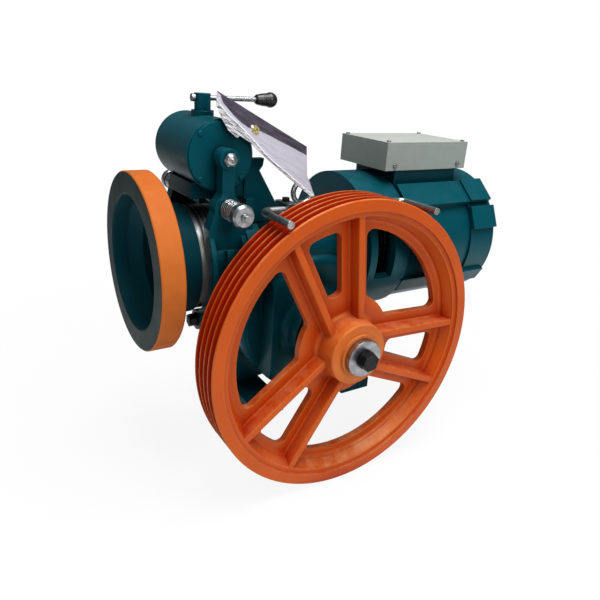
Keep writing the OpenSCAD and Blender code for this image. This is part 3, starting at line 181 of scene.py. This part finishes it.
# %% [markdown]
# ## Effect: soft edges
# A casting has no razor edges: sand moulds and paint round them. The Bevel node reads the
# surface around a point and returns a normal as if the edge were rounded, and how far that
# normal leans from the flat one tells where an edge is. Both are used: the normal makes the
# edge catch light, and the mask lightens the colour there, as worn paint and, on the enamels,
# as a painted highlight.

# %% Soft edge group
soft_edges, b, src, out = effect(
    "soft_edges", [("Radius", "Float", 0.002), ("Gain", "Float", 6.0)],
    [("Normal", "Vector"), ("Edge", "Float")])
bevel = b.add("Bevel", {"Radius": src["Radius"]}, samples=4)
flat = b.add("NewGeometry").outputs["Normal"]
lean = b.add("VectorMath", {0: bevel.outputs[0], 1: flat}, operation="DOT_PRODUCT").outputs["Value"]
edge = b.math("MULTIPLY", b.math("SUBTRACT", 1.0, lean), src["Gain"], clamp=True)
b.tree.links.new(bevel.outputs[0], out["Normal"])
b.tree.links.new(edge, out["Edge"])
print("group:", soft_edges.name)

# %% [markdown]
# ## Effect: enamel on a casting
# The paint is brushed or sprayed straight over sand-cast iron, so its surface keeps a fine
# orange peel over the coarser grain of the mould, with a few runs of thicker, glossier paint.
# The group gives a height for the bump, a mottle mask for colour and gloss, and a mask that
# lies where a surface faces up, used for dust and for a painted top-lit sheen.

# %% Casting skin group
casting_skin, b, src, out = effect(
    "casting_skin", [("Grain", "Float", 260.0)],
    [("Height", "Float"), ("Mottle", "Float"), ("DustAndSheen", "Float")])
here = b.place()
grain = b.noise(here, src["Grain"], 4.0, 0.6)
peel = b.noise(here, 900.0, 2.0, 0.5)
swell = b.noise(here, 22.0, 2.0, 0.5)
height = b.math("ADD", b.math("MULTIPLY", grain, 0.55),
                b.math("ADD", b.math("MULTIPLY", peel, 0.25), b.math("MULTIPLY", swell, 0.6)))
mottle = b.ramp(b.noise(here, 14.0, 6.0, 0.62), 0.32, 0.7)
facing = b.add("SeparateXYZ", {0: b.add("NewGeometry").outputs["Normal"]}).outputs["Z"]
# Upward faces: pale dust, and a painted top-lit sheen where light from above falls.
dust_and_sheen = b.math("MULTIPLY", b.ramp(facing, 0.35, 1.0), b.ramp(b.noise(here, 38.0, 7.0, 0.7), 0.38, 0.75))
b.tree.links.new(height, out["Height"])
b.tree.links.new(mottle, out["Mottle"])
b.tree.links.new(dust_and_sheen, out["DustAndSheen"])
print("group:", casting_skin.name)

# %% [markdown]
# ## Effect: turned metal
# A lathe leaves fine rings round the axis of the work. Here the distance along that axis drives
# two one-dimensional noises. The fine one is the height for the bump, and both together are
# the streaks' light and dark, which also set their roughness.

# %% Turned metal group
turned_metal, b, src, out = effect(
    "turned_metal", [("Along", "Float", 0.0), ("Pitch", "Float", 1400.0)],
    [("Height", "Float"), ("Streak", "Float")])
fine = b.add("TexNoise", {"W": b.math("MULTIPLY", src["Along"], src["Pitch"]), "Scale": 1.0, "Detail": 2.0},
             noise_dimensions="1D").outputs["Fac"]
broad = b.add("TexNoise", {"W": b.math("MULTIPLY", src["Along"], 160.0), "Scale": 1.0, "Detail": 3.0},
              noise_dimensions="1D").outputs["Fac"]
streak = b.math("ADD", b.math("MULTIPLY", fine, 0.5), b.math("MULTIPLY", broad, 0.5))
b.tree.links.new(fine, out["Height"])
b.tree.links.new(b.ramp(streak, 0.3, 0.7), out["Streak"])
print("group:", turned_metal.name)

# %% [markdown]
# ## Effect: painted corner shade
# A corner gets little light, so the windows and rib roots look nearly black, and this shade is
# painted into the colour. The group looks around the point as far as Reach, and its mask is one
# in the open and falls towards Floor in a deep corner.

# %% Painted corner shade group
painted_corner_shade, b, src, out = effect(
    "painted_corner_shade", [("Reach", "Float", 0.06), ("Floor", "Float", 0.3)], [("Open", "Float")])
around = b.add("AmbientOcclusion", {"Distance": src["Reach"]}, samples=6).outputs["AO"]
b.tree.links.new(b.math("ADD", src["Floor"], b.math("MULTIPLY", b.ramp(around, 0.35, 1.0),
                                                    b.math("SUBTRACT", 1.0, src["Floor"]))), out["Open"])
print("group:", painted_corner_shade.name)

# %% [markdown]
# ## Small tools
# Each finish starts the same way and ends with its values linked into the shader. dress() then
# puts it on the solids that wear it.

# %% Small tools for materials
def finish_start(name, rough=0.4, metal=0.0, **sockets):
    """New material: the material, its bench and its Principled shader, ready for links."""
    material = bpy.data.materials.new(name)
    material.use_nodes = True
    bench = Bench(material.node_tree)
    shader = material.node_tree.nodes["Principled BSDF"]
    shader.inputs["Roughness"].default_value = rough
    shader.inputs["Metallic"].default_value = metal
    for key, value in sockets.items():
        shader.inputs[key.replace("_", " ")].default_value = value
    return material, bench, shader


def use(bench, tree, sockets=None):
    """Puts a shared effect into a material and gives its outputs."""
    return bench.add("Group", sockets, node_tree=tree).outputs


def feed(bench, shader, **links):
    """Links values into the shader, a socket's spaces written as underscores."""
    for key, value in links.items():
        bench.tree.links.new(value, shader.inputs[key.replace("_", " ")])


def axis_distance(bench, axis, centre):
    """Distance of the surface point from a line along one axis through centre."""
    here = bench.add("Mapping", {"Vector": bench.place(), "Location": [-c for c in centre]}).outputs[0]
    parts = bench.add("SeparateXYZ", {0: here}).outputs
    two = [parts[i] for i in range(3) if i != "XYZ".index(axis)]
    return bench.math("SQRT", bench.math("ADD", bench.math("MULTIPLY", two[0], two[0]),
                                         bench.math("MULTIPLY", two[1], two[1])))


def dress(material, *names):
    """Gives each named solid this one finish."""
    for name in names:
        data = nodes[name].data
        data.materials.clear()
        data.materials.append(material)


print("tools ready")

# %% [markdown]
# ## Enamels
# The castings wear a dark teal machine enamel and the sheave an orange one. Both are the same
# recipe: a base colour that varies a little with the film's thickness, a lighter tone at the
# edges that is worn paint and also a painted highlight, pale dust on upward faces that is also
# a painted top-lit sheen, painted shade that darkens the corners, and a gloss that the mottle
# breaks up. The clear coat gives the sharp highlight over the softer one. The sheave's hub is a
# little yellower, and that tint fades out along the ribs.

# %% Enamel recipe
def shaded(colour, share, lift=0.0):
    """The colour at a share of its strength, with an even lift."""
    return [min(1, c * share + lift) for c in colour[:3]] + [1]


def enamel(name, colour, thin_and_highlight, dust_and_sheen_tone, rough=0.34, coat=0.08, grain=260.0, bump=0.35, edge_mix=0.4,
           dust_and_sheen_mix=0.16, reach=0.06, floor_tone=0.3, shine=0.32):
    """Paint on a casting: its colour, the tone of its worn edges with a painted highlight, and the tone of
    its dusting with a painted top-lit sheen.
    """
    material, bench, shader = finish_start(name, rough, Coat_Weight=coat, Coat_Roughness=0.16,
                                           Specular_IOR_Level=shine)
    shader.inputs["Specular Tint"].default_value = shaded(thin_and_highlight, 3.2, 0.12)
    edges = use(bench, soft_edges, {"Radius": 0.0022})
    skin = use(bench, casting_skin, {"Grain": grain})
    thick = shaded(colour, 0.72)
    tone = bench.mix(bench.math("MULTIPLY", skin["Mottle"], 0.45), colour, thick)
    # Edges: worn, thinned paint, and a painted highlight along the ridges.
    tone = bench.mix(bench.math("MULTIPLY", edges["Edge"], edge_mix), tone, thin_and_highlight)
    # Upward faces: pale dust, and a painted top-lit sheen.
    tone = bench.mix(bench.math("MULTIPLY", skin["DustAndSheen"], dust_and_sheen_mix), tone, dust_and_sheen_tone)
    # Corners: painted shade, the colour darkened where the surface is hemmed in.
    unshaded = use(bench, painted_corner_shade, {"Reach": reach, "Floor": floor_tone})["Open"]
    tone = bench.mix(unshaded, [c * c * 1.2 for c in colour[:3]] + [1], tone)
    gloss = bench.ramp(skin["Mottle"], 0.0, 1.0, rough - 0.06, rough + 0.09)
    gloss = bench.math("ADD", gloss, bench.math("MULTIPLY", skin["DustAndSheen"], 0.22), clamp=True)
    relief = bench.add("Bump", {"Strength": bump, "Distance": 0.0009, "Height": skin["Height"],
                                "Normal": edges["Normal"]}).outputs[0]
    feed(bench, shader, Base_Color=tone, Roughness=gloss, Normal=relief)
    return material, bench, shader, tone


# %% Teal castings
teal, *_ = enamel("teal_enamel", rgb(0, 68, 79), rgb(12, 104, 116), rgb(62, 104, 106))
dress(teal, "gear_housing", "front_cover", "rear_cover", "worm_cover", "motor_bell", "motor_casing",
      "end_shield", "brake_bracket", "magnet_case", "magnet_cover", "arm_front", "arm_rear", "case_screws",
      "release_post", "release_collar")
print("castings:", teal.name)

# %% Orange sheave
SHEAVE_AXIS = (0.0, 0.0, 0.165)
HUB_TINT_FULL, HUB_TINT_END = 0.055, 0.08
# The strong dust mix here is mostly a painted top-lit sheen, and the corners get full painted shade.
orange, b, shader, tone = enamel("orange_enamel", rgb(190, 72, 14), rgb(224, 128, 56), rgb(226, 170, 122),
                                 rough=0.4, coat=0.08, grain=190.0, bump=0.5, edge_mix=0.6, dust_and_sheen_mix=0.6,
                                 reach=0.035, floor_tone=0.0, shine=0.4)
ragged = b.math("MULTIPLY", b.noise(b.place(), 40.0), 0.02)
from_hub = b.math("ADD", axis_distance(b, "Y", SHEAVE_AXIS), ragged)
hub = b.ramp(from_hub, HUB_TINT_END, HUB_TINT_FULL, 0.0, 0.42)
feed(b, shader, Base_Color=b.mix(hub, tone, rgb(214, 132, 62)))
dress(orange, "sheave")
print("sheave:", orange.name)

# %% [markdown]
# ## Flywheel and drum
# The flywheel is one casting with two paints: teal in its bowl, on its face and on the long
# band beside the brake, and a yellower orange round its rim. The face round the bowl's mouth
# is duller and greener than the rest. Each border is a plain distance from the worm's axis, so
# a ramp on it draws it cleanly. The drum's track is bare, and the linings rub it into rings.

# %% Flywheel paint
WORM_AXIS = (0.0, 0.0, 0.305)
MOUTH_RADIUS, RIM_RADIUS = 0.1126, 0.1472
wheel_paint, b, shader, tone = enamel("flywheel_enamel", rgb(2, 54, 64), rgb(14, 72, 80), rgb(48, 76, 76),
                                      rough=0.5, coat=0.0, shine=0.2)
from_axis = axis_distance(b, "X", WORM_AXIS)
on_face = b.ramp(from_axis, MOUTH_RADIUS, MOUTH_RADIUS + 0.0006)
on_rim = b.ramp(from_axis, RIM_RADIUS, RIM_RADIUS + 0.0004)
face_tone = b.mix(b.noise(b.place(), 24.0, 5.0), rgb(14, 40, 40), rgb(34, 50, 48))
rim_tone = b.mix(b.noise(b.place(), 30.0, 4.0), rgb(192, 104, 44), rgb(170, 86, 30))
feed(b, shader, Base_Color=b.mix(on_rim, b.mix(on_face, tone, face_tone), rim_tone))
dress(wheel_paint, "flywheel")
print("flywheel:", wheel_paint.name)

# %% Drum
drum_finish, b, shader = finish_start("brake_track", 0.36, 1.0)
x_here = b.add("SeparateXYZ", {0: b.place()}).outputs["X"]
lathe = use(b, turned_metal, {"Along": x_here})
ring = b.ramp(lathe["Streak"], 0.35, 0.65)
feed(b, shader, Base_Color=b.mix(ring, rgb(74, 76, 78), rgb(226, 226, 224)),
     Roughness=b.ramp(lathe["Streak"], 0.0, 1.0, 0.46, 0.28),
     Normal=b.add("Bump", {"Strength": 0.2, "Distance": 0.0003, "Height": lathe["Height"]}).outputs[0])
dress(drum_finish, "brake_drum")
print("drum:", drum_finish.name)

# %% [markdown]
# ## Bare and plated metal
# Bolts, rods and the eye are bright zinc: nearly white metal with a soft haze. Machined steel
# is darker and sharper. Black-oxide screws are almost black with a satin sheen. The recipe
# takes the two tones it mixes and a roughness range, and breaks them up with fine noise, with
# painted shade in the corners. A coil's wire is bright on its outside, and its flanks between
# the turns get painted shade, nearly black.

# %% Metal recipe
def metal(name, light, dark, rough=(0.22, 0.42), metallic=1.0, bump=0.08, coiled=""):
    """Bare or plated metal. coiled names the axis of a coil, whose turns get painted shade on their flanks.
    """
    material, bench, shader = finish_start(name, rough[0], metallic)
    edges = use(bench, soft_edges, {"Radius": 0.0008})
    here = bench.place()
    patch = bench.ramp(bench.noise(here, 60.0, 6.0, 0.65), 0.35, 0.68)
    fine = bench.noise(here, 1500.0, 2.0)
    tone = bench.mix(patch, light, dark)
    # Corners and gaps: painted shade, darkened almost to black.
    unshaded = use(bench, painted_corner_shade, {"Reach": 0.005, "Floor": 0.2})["Open"]
    tone = bench.mix(unshaded, shaded(dark, 0.1), tone)
    tone = bench.mix(bench.math("MULTIPLY", edges["Edge"], 0.5), tone, shaded(light, 1.5))
    # Coil: the wire's flanks between the turns get painted shade, nearly black.
    if coiled:
        normal = bench.add("NewGeometry").outputs["True Normal"]
        lean = bench.math("ABSOLUTE", bench.add("SeparateXYZ", {0: normal}).outputs[coiled])
        tone = bench.mix(bench.ramp(lean, 0.5, 0.8), tone, rgb(18, 24, 27))
    relief = bench.add("Bump", {"Strength": bump, "Distance": 0.0004, "Height": fine,
                                "Normal": edges["Normal"]}).outputs[0]
    feed(bench, shader, Base_Color=tone, Roughness=bench.ramp(patch, 0.0, 1.0, *rough), Normal=relief)
    return material


zinc = metal("zinc_plate", rgb(198, 200, 202), rgb(146, 149, 151))
spring_wire = metal("spring_wire", rgb(244, 245, 246), rgb(206, 208, 210), coiled="Y")
steel = metal("machined_steel", rgb(170, 171, 174), rgb(128, 129, 132), rough=(0.25, 0.38))
black_oxide = metal("black_oxide", rgb(34, 34, 36), rgb(20, 20, 22), rough=(0.32, 0.5), metallic=0.7)
bronze = metal("bronze", rgb(196, 150, 84), rgb(150, 108, 56))
brass = metal("brass_fitting", rgb(206, 172, 100), rgb(170, 136, 74))
iron = metal("grey_iron", rgb(96, 97, 99), rgb(64, 64, 66), rough=(0.45, 0.65), metallic=0.6, bump=0.3)
dress(zinc, "guard_left", "guard_right", "guard_clamps", "lifting_eye", "spring_studs", "spring_caps",
      "lid_screws", "tie_bolts", "adjuster_front", "adjuster_rear", "breather", "drain_plug", "release_rod")
dress(spring_wire, "spring_front", "spring_rear")
dress(steel, "end_washer", "main_shaft", "shaft_keys", "worm_shaft", "flywheel_nut", "plunger_front",
      "plunger_rear", "main_bearings", "worm_bearings")
dress(black_oxide, "end_bolt", "arm_pins", "guard_nuts", "coupling")
dress(bronze, "worm_wheel_ring")
dress(brass, "oil_gauge")
dress(iron, "worm_wheel_hub", "stator", "rotor")
print("metals:", ", ".join(m.name for m in (zinc, spring_wire, steel, black_oxide, bronze, brass, iron)))

# %% [markdown]
# ## Sheet metal box
# The terminal box is folded sheet with a warm grey textured powder coat. Powder melts into a
# fine pebble, so a noise bump finer than a millimetre suits it better than brush marks.

# %% Powder coat
powder, b, shader = finish_start("powder_coat", 0.5)
edges = use(b, soft_edges, {"Radius": 0.0012})
here = b.place()
pebble = b.noise(here, 1400.0, 2.0)
grime = b.ramp(b.noise(here, 26.0, 6.0, 0.65), 0.4, 0.75)
tone = b.mix(b.math("MULTIPLY", grime, 0.3), rgb(138, 146, 140), rgb(112, 118, 112))
# Upward faces: a painted highlight, lighter where the light from above falls.
facing = b.add("SeparateXYZ", {0: b.add("NewGeometry").outputs["Normal"]}).outputs["Z"]
tone = b.mix(b.math("MULTIPLY", b.ramp(facing, 0.5, 0.95), 0.75), tone, rgb(184, 186, 180))
tone = b.mix(b.math("MULTIPLY", edges["Edge"], 0.35), tone, rgb(190, 194, 188))
feed(b, shader, Base_Color=tone, Roughness=b.ramp(grime, 0.0, 1.0, 0.42, 0.6),
     Normal=b.add("Bump", {"Strength": 0.25, "Distance": 0.0004, "Height": pebble,
                           "Normal": edges["Normal"]}).outputs[0])
dress(powder, "terminal_box", "terminal_lid")
print("box:", powder.name)

# %% Plastics and lining
def moulded(name, colour, rough, scale=900.0, bump=0.15):
    """Moulded or pressed stuff: one colour with faint clouds and a fine grain."""
    material, bench, shader = finish_start(name, rough)
    edges = use(bench, soft_edges, {"Radius": 0.001})
    here = bench.place()
    cloud = bench.noise(here, 45.0, 4.0)
    feed(bench, shader,
         Base_Color=bench.mix(cloud, colour, shaded(colour, 1.6, 0.004)),
         Roughness=bench.ramp(cloud, 0.3, 0.7, rough - 0.06, rough + 0.08),
         Normal=bench.add("Bump", {"Strength": bump, "Distance": 0.0004,
                                   "Height": bench.noise(here, scale, 2.0),
                                   "Normal": edges["Normal"]}).outputs[0])
    return material


grip = moulded("black_phenolic", rgb(22, 22, 24), 0.28)
rubber = moulded("seal_rubber", rgb(24, 24, 24), 0.65)
lining = moulded("friction_lining", rgb(84, 76, 70), 0.85, 380.0, 0.6)
winding = moulded("taped_winding", rgb(128, 74, 44), 0.55, 500.0, 0.5)
dress(grip, "release_knob", "terminal_block")
dress(rubber, "shaft_seal")
dress(lining, "lining_front", "lining_rear")
dress(winding, "magnet_coil")
print("other finishes:", grip.name, rubber.name, lining.name, winding.name)

# %% [markdown]
# ## Document sleeve
# A thin plastic wallet leans on the magnet, with a printed sheet inside. Its point is
# P(u, v) = corner + u along + v up + w(u, v) out, where along, up and out are a frame turned 26.7
# degrees about Y and leant 20.75 degrees back. For each u the sheet runs from top(u) to low(u),
# both bent lines. The height w is calm over the sheet inside and rises to sharp ridges, the
# folded sines |sin|, near the lower edge where the loose film is crushed.

# %% Sleeve surface
def bent(table, u):
    """Height of a bent line at u, from a table of (u, v) corners in millimetres."""
    xs, ys = np.array(table, float).T
    return np.interp(u, xs, ys)


SLEEVE_TOP = [(0, 0), (184, 0), (199, -46), (224, -72)]
SLEEVE_LOW = [(0, -1), (3, -18), (18, -35), (35, -47), (53, -51), (56, -45), (78, -47), (108, -55),
              (133, -61), (175, -69), (218, -77), (224, -72.5)]
HEADER_LOW = [(0, -1), (6, -3), (14, -12), (37, -20.5), (53, -25), (67, -26), (85, -21), (108, -18.6),
              (185, -14.2), (224, -14)]
FOLD = [(0, -9), (4, -14), (15, -19.6), (27, -25), (43, -28), (61, -34), (80, -40), (106, -50),
        (134, -57), (170, -63.5), (224, -74)]


def sleeve_surface(columns=320, rows=72):
    """Grid over the sleeve, with its print and folds as vertex attributes."""
    turn = Matrix.Rotation(math.radians(26.7), 3, "Y") @ Matrix.Rotation(math.radians(-20.75), 3, "X")
    along, up = (np.array(turn @ Vector(axis)) for axis in ((1, 0, 0), (0, 0, 1)))
    out = np.array(turn @ Vector((0, -1, 0)))
    u, t = np.meshgrid(np.linspace(0, 224, columns), np.linspace(0, 1, rows), indexing="ij")
    high, low = bent(SLEEVE_TOP, u), bent(SLEEVE_LOW, u)
    v = high + (low - high) * t
    rest = u + 0.3 * v
    ridges = sum(size * np.abs(np.sin(rest * ku + v * kv + shift)) for size, ku, kv, shift in (
        (1.3, 0.09, 0.42, 0.4), (0.9, -0.17, 0.61, 1.9), (0.6, 0.33, 0.8, 0.2), (0.35, -0.71, 0.5, 2.6)))
    crushed = np.exp(-np.clip(v - low, 0, None) / 7) + np.exp(-u / 9) * 0.6
    calm = 0.5 * np.sin(u / 19) * np.sin(v / 13 + 0.7) + 0.2 * np.sin(u / 5.3 + v / 8)
    fold = v - bent(FOLD, u)
    edge = np.clip(np.minimum(v - low, high - v) / 3, 0.25, 1)
    height = (calm + (ridges - 1.4) * np.clip(crushed, 0, 1) + 1.5 * np.exp(-(fold / 1.5) ** 2)) * edge
    corner = np.array((-0.2053, -0.066, 0.5802))
    points = corner + (u[..., None] * along + v[..., None] * up + (height[..., None] + 1.6) * out) / 1000
    index = np.arange(columns * rows).reshape(columns, rows)
    quads = np.stack([index[:-1, :-1], index[:-1, 1:], index[1:, 1:], index[1:, :-1]], -1).reshape(-1, 4)
    mesh = bpy.data.meshes.new("sleeve_sheet")
    mesh.from_pydata(points.reshape(-1, 3).tolist(), [], quads.tolist())
    mesh.shade_smooth()
    for name, values in (("header", v - bent(HEADER_LOW, u)), ("fold", fold), ("u", u), ("v", v),
                         ("crushed", np.clip(crushed, 0, 1))):
        layer = mesh.attributes.new(name, "FLOAT", "POINT")
        layer.data.foreach_set("value", values.ravel().astype(np.float32))
    flat_area = float(np.mean(high[:, 0] - low[:, 0])) * 224 / 1e6
    piece = bpy.data.objects.new("sleeve_sheet", mesh)
    bpy.context.scene.collection.objects.link(piece)
    film_depth = piece.modifiers.new("film", "SOLIDIFY")
    film_depth.thickness, film_depth.offset = 0.0006, 0.0
    return piece, flat_area


sleeve, sleeve_area = sleeve_surface()

# %% [markdown]
# The wallet shows a dark header over a pale page, with a small olive patch and a white fleck at
# the header's border. Below the page the film is empty and only shines: that shine is painted
# into its colour as pale and dark streaks, a painted reflection. The header's lower border and
# the fold come from the attributes, so they stay sharp.

# %% Sleeve finish
wallet, b, shader = finish_start("clear_film", 0.22, Coat_Weight=0.5, Coat_Roughness=0.08)
mark = {name: b.add("Attribute", attribute_name=name).outputs["Fac"]
        for name in ("header", "fold", "u", "v", "crushed")}
spread = b.add("CombineXYZ", {"X": b.math("MULTIPLY", mark["u"], 0.012),
                              "Y": b.math("MULTIPLY", mark["v"], 0.1)})
cloud = b.noise(spread.outputs[0], 2.2, 5.0, 0.6)
page = b.mix(cloud, rgb(146, 143, 156), rgb(196, 193, 204))
ink = b.mix(b.ramp(cloud, 0.4, 0.65), rgb(48, 42, 54), rgb(78, 71, 84))
streak = b.noise(b.add("CombineXYZ", {"X": b.math("MULTIPLY", mark["u"], 0.05),
                                      "Y": b.math("MULTIPLY", mark["v"], 0.55)}).outputs[0], 1.0, 4.0, 0.7)
# Empty film: its shine painted as pale and dark streaks, a painted reflection.
loose = b.mix(b.ramp(streak, 0.4, 0.6), rgb(44, 45, 52), rgb(222, 222, 226))
spot = b.add("CombineXYZ", {"X": mark["u"], "Y": mark["v"]}).outputs[0]
to_patch, to_fleck = (b.add("VectorMath", {0: spot, 1: centre}, operation="DISTANCE").outputs["Value"]
                      for centre in ((80.0, -23.5, 0.0), (73.0, -20.5, 0.0)))
patch = b.mix(b.ramp(b.noise(b.place(), 420.0, 3.0), 0.4, 0.6), rgb(62, 56, 26), rgb(186, 170, 112))
tone = b.mix(b.ramp(mark["header"], -0.5, 0.5), page, ink)
on_patch = b.ramp(b.math("ADD", to_patch, b.math("MULTIPLY", cloud, 9.0)), 13.5, 11.0)
on_fleck = b.ramp(b.math("ADD", to_fleck, b.math("MULTIPLY", cloud, 3.0)), 4.4, 3.4)
on_crease = b.math("MULTIPLY", b.ramp(b.math("ABSOLUTE", mark["fold"]), 1.6, 0.0), 0.8)
tone = b.mix(on_patch, tone, patch)
tone = b.mix(on_fleck, tone, rgb(226, 224, 220))
# Below the fold: the painted reflection of the empty film.
tone = b.mix(b.ramp(mark["fold"], 0.8, -0.8), tone, loose)
tone = b.mix(on_crease, tone, rgb(240, 240, 242))
ripple = b.noise(spread.outputs[0], 9.0, 4.0, 0.6)
feed(b, shader, Base_Color=tone, Roughness=b.ramp(mark["crushed"], 0.0, 1.0, 0.3, 0.14),
     Normal=b.add("Bump", {"Strength": 0.35, "Distance": 0.0012, "Height": ripple}).outputs[0])
sleeve.data.materials.append(wallet)
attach(sleeve, body_of(nodes["document_sleeve"])[0])
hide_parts("document_sleeve")
print("sleeve:", len(sleeve.data.vertices), "vertices,", round(sleeve_area * 1e4, 1), "square cm")

# %% [markdown]
# ## Floor and light
# The machine is shown on a plain white ground. The floor is a pale sheet whose camera colour is
# mostly plain white, so its edge disappears into the background while a faint shadow stays. Big
# soft panels do the lighting: the strongest above, a weaker one in front and a faint one at the
# left. The world is white to the camera and a dim grey to everything else.

# %% Floor
half = 6.0
floor_level = cad_low.z - 0.0005
floor_mesh = bpy.data.meshes.new("floor")
floor_mesh.from_pydata([(-half, -half, floor_level), (half, -half, floor_level), (half, half, floor_level),
                        (-half, half, floor_level)], [], [(0, 1, 2, 3)])
floor = bpy.data.objects.new("floor", floor_mesh)
bpy.context.scene.collection.objects.link(floor)
ground, b, shader = finish_start("ground", 0.9)
shader.inputs["Base Color"].default_value = (0.86, 0.86, 0.86, 1)
shader.inputs["Specular IOR Level"].default_value = 0.1
paths = b.add("LightPath").outputs
white = b.add("Emission", {"Color": (1, 1, 1, 1), "Strength": 1.0})
far = b.add("VectorMath", {0: b.place()}, operation="LENGTH").outputs["Value"]
seen = b.math("MULTIPLY", paths["Is Camera Ray"], b.ramp(far, 0.3, 1.2, 0.9, 1.0))
blend = b.add("MixShader", {0: seen, 1: shader.outputs[0], 2: white.outputs[0]})
b.tree.links.new(blend.outputs[0], b.tree.nodes["Material Output"].inputs["Surface"])
floor_mesh.materials.append(ground)
print("floor: at z", round(floor_level, 4))

# %% World
world = bpy.data.worlds.new("studio")
bpy.context.scene.world = world
world.use_nodes = True
b = Bench(world.node_tree)
paths = b.add("LightPath").outputs
clear = b.math("MAXIMUM", paths["Is Camera Ray"], paths["Is Transmission Ray"])
sky = world.node_tree.nodes["Background"]
b.tree.links.new(b.mix(clear, (0.62, 0.64, 0.66, 1), (1, 1, 1, 1)), sky.inputs["Color"])
b.tree.links.new(b.ramp(clear, 0.0, 1.0, 0.2, 1.0), sky.inputs["Strength"])
print("world:", world.name)

# %% Lamps
def panel(name, place, target, size, watts, colour=(1, 1, 1)):
    """Area lamp at place, turned so that its face looks at target."""
    lamp = bpy.data.lights.new(name, "AREA")
    lamp.shape, lamp.size, lamp.size_y = "RECTANGLE", *size
    lamp.energy, lamp.color = watts, colour
    thing = bpy.data.objects.new(name, lamp)
    bpy.context.scene.collection.objects.link(thing)
    thing.location = place
    thing.rotation_mode = "QUATERNION"
    thing.rotation_quaternion = (Vector(target) - Vector(place)).to_track_quat("-Z", "Y")
    return thing


panel("top_panel", (0.0, -0.6, 2.4), (0, 0, 0.3), (1.5, 1.5), 70)
panel("left_panel", (-2.0, -1.6, 1.1), (-0.1, 0, 0.3), (1.2, 1.2), 7)
panel("front_panel", (0.2, -2.6, 1.6), (0.1, -0.1, 0.3), (1.2, 0.9), 24)
bpy.context.scene.view_settings.view_transform = "Standard"
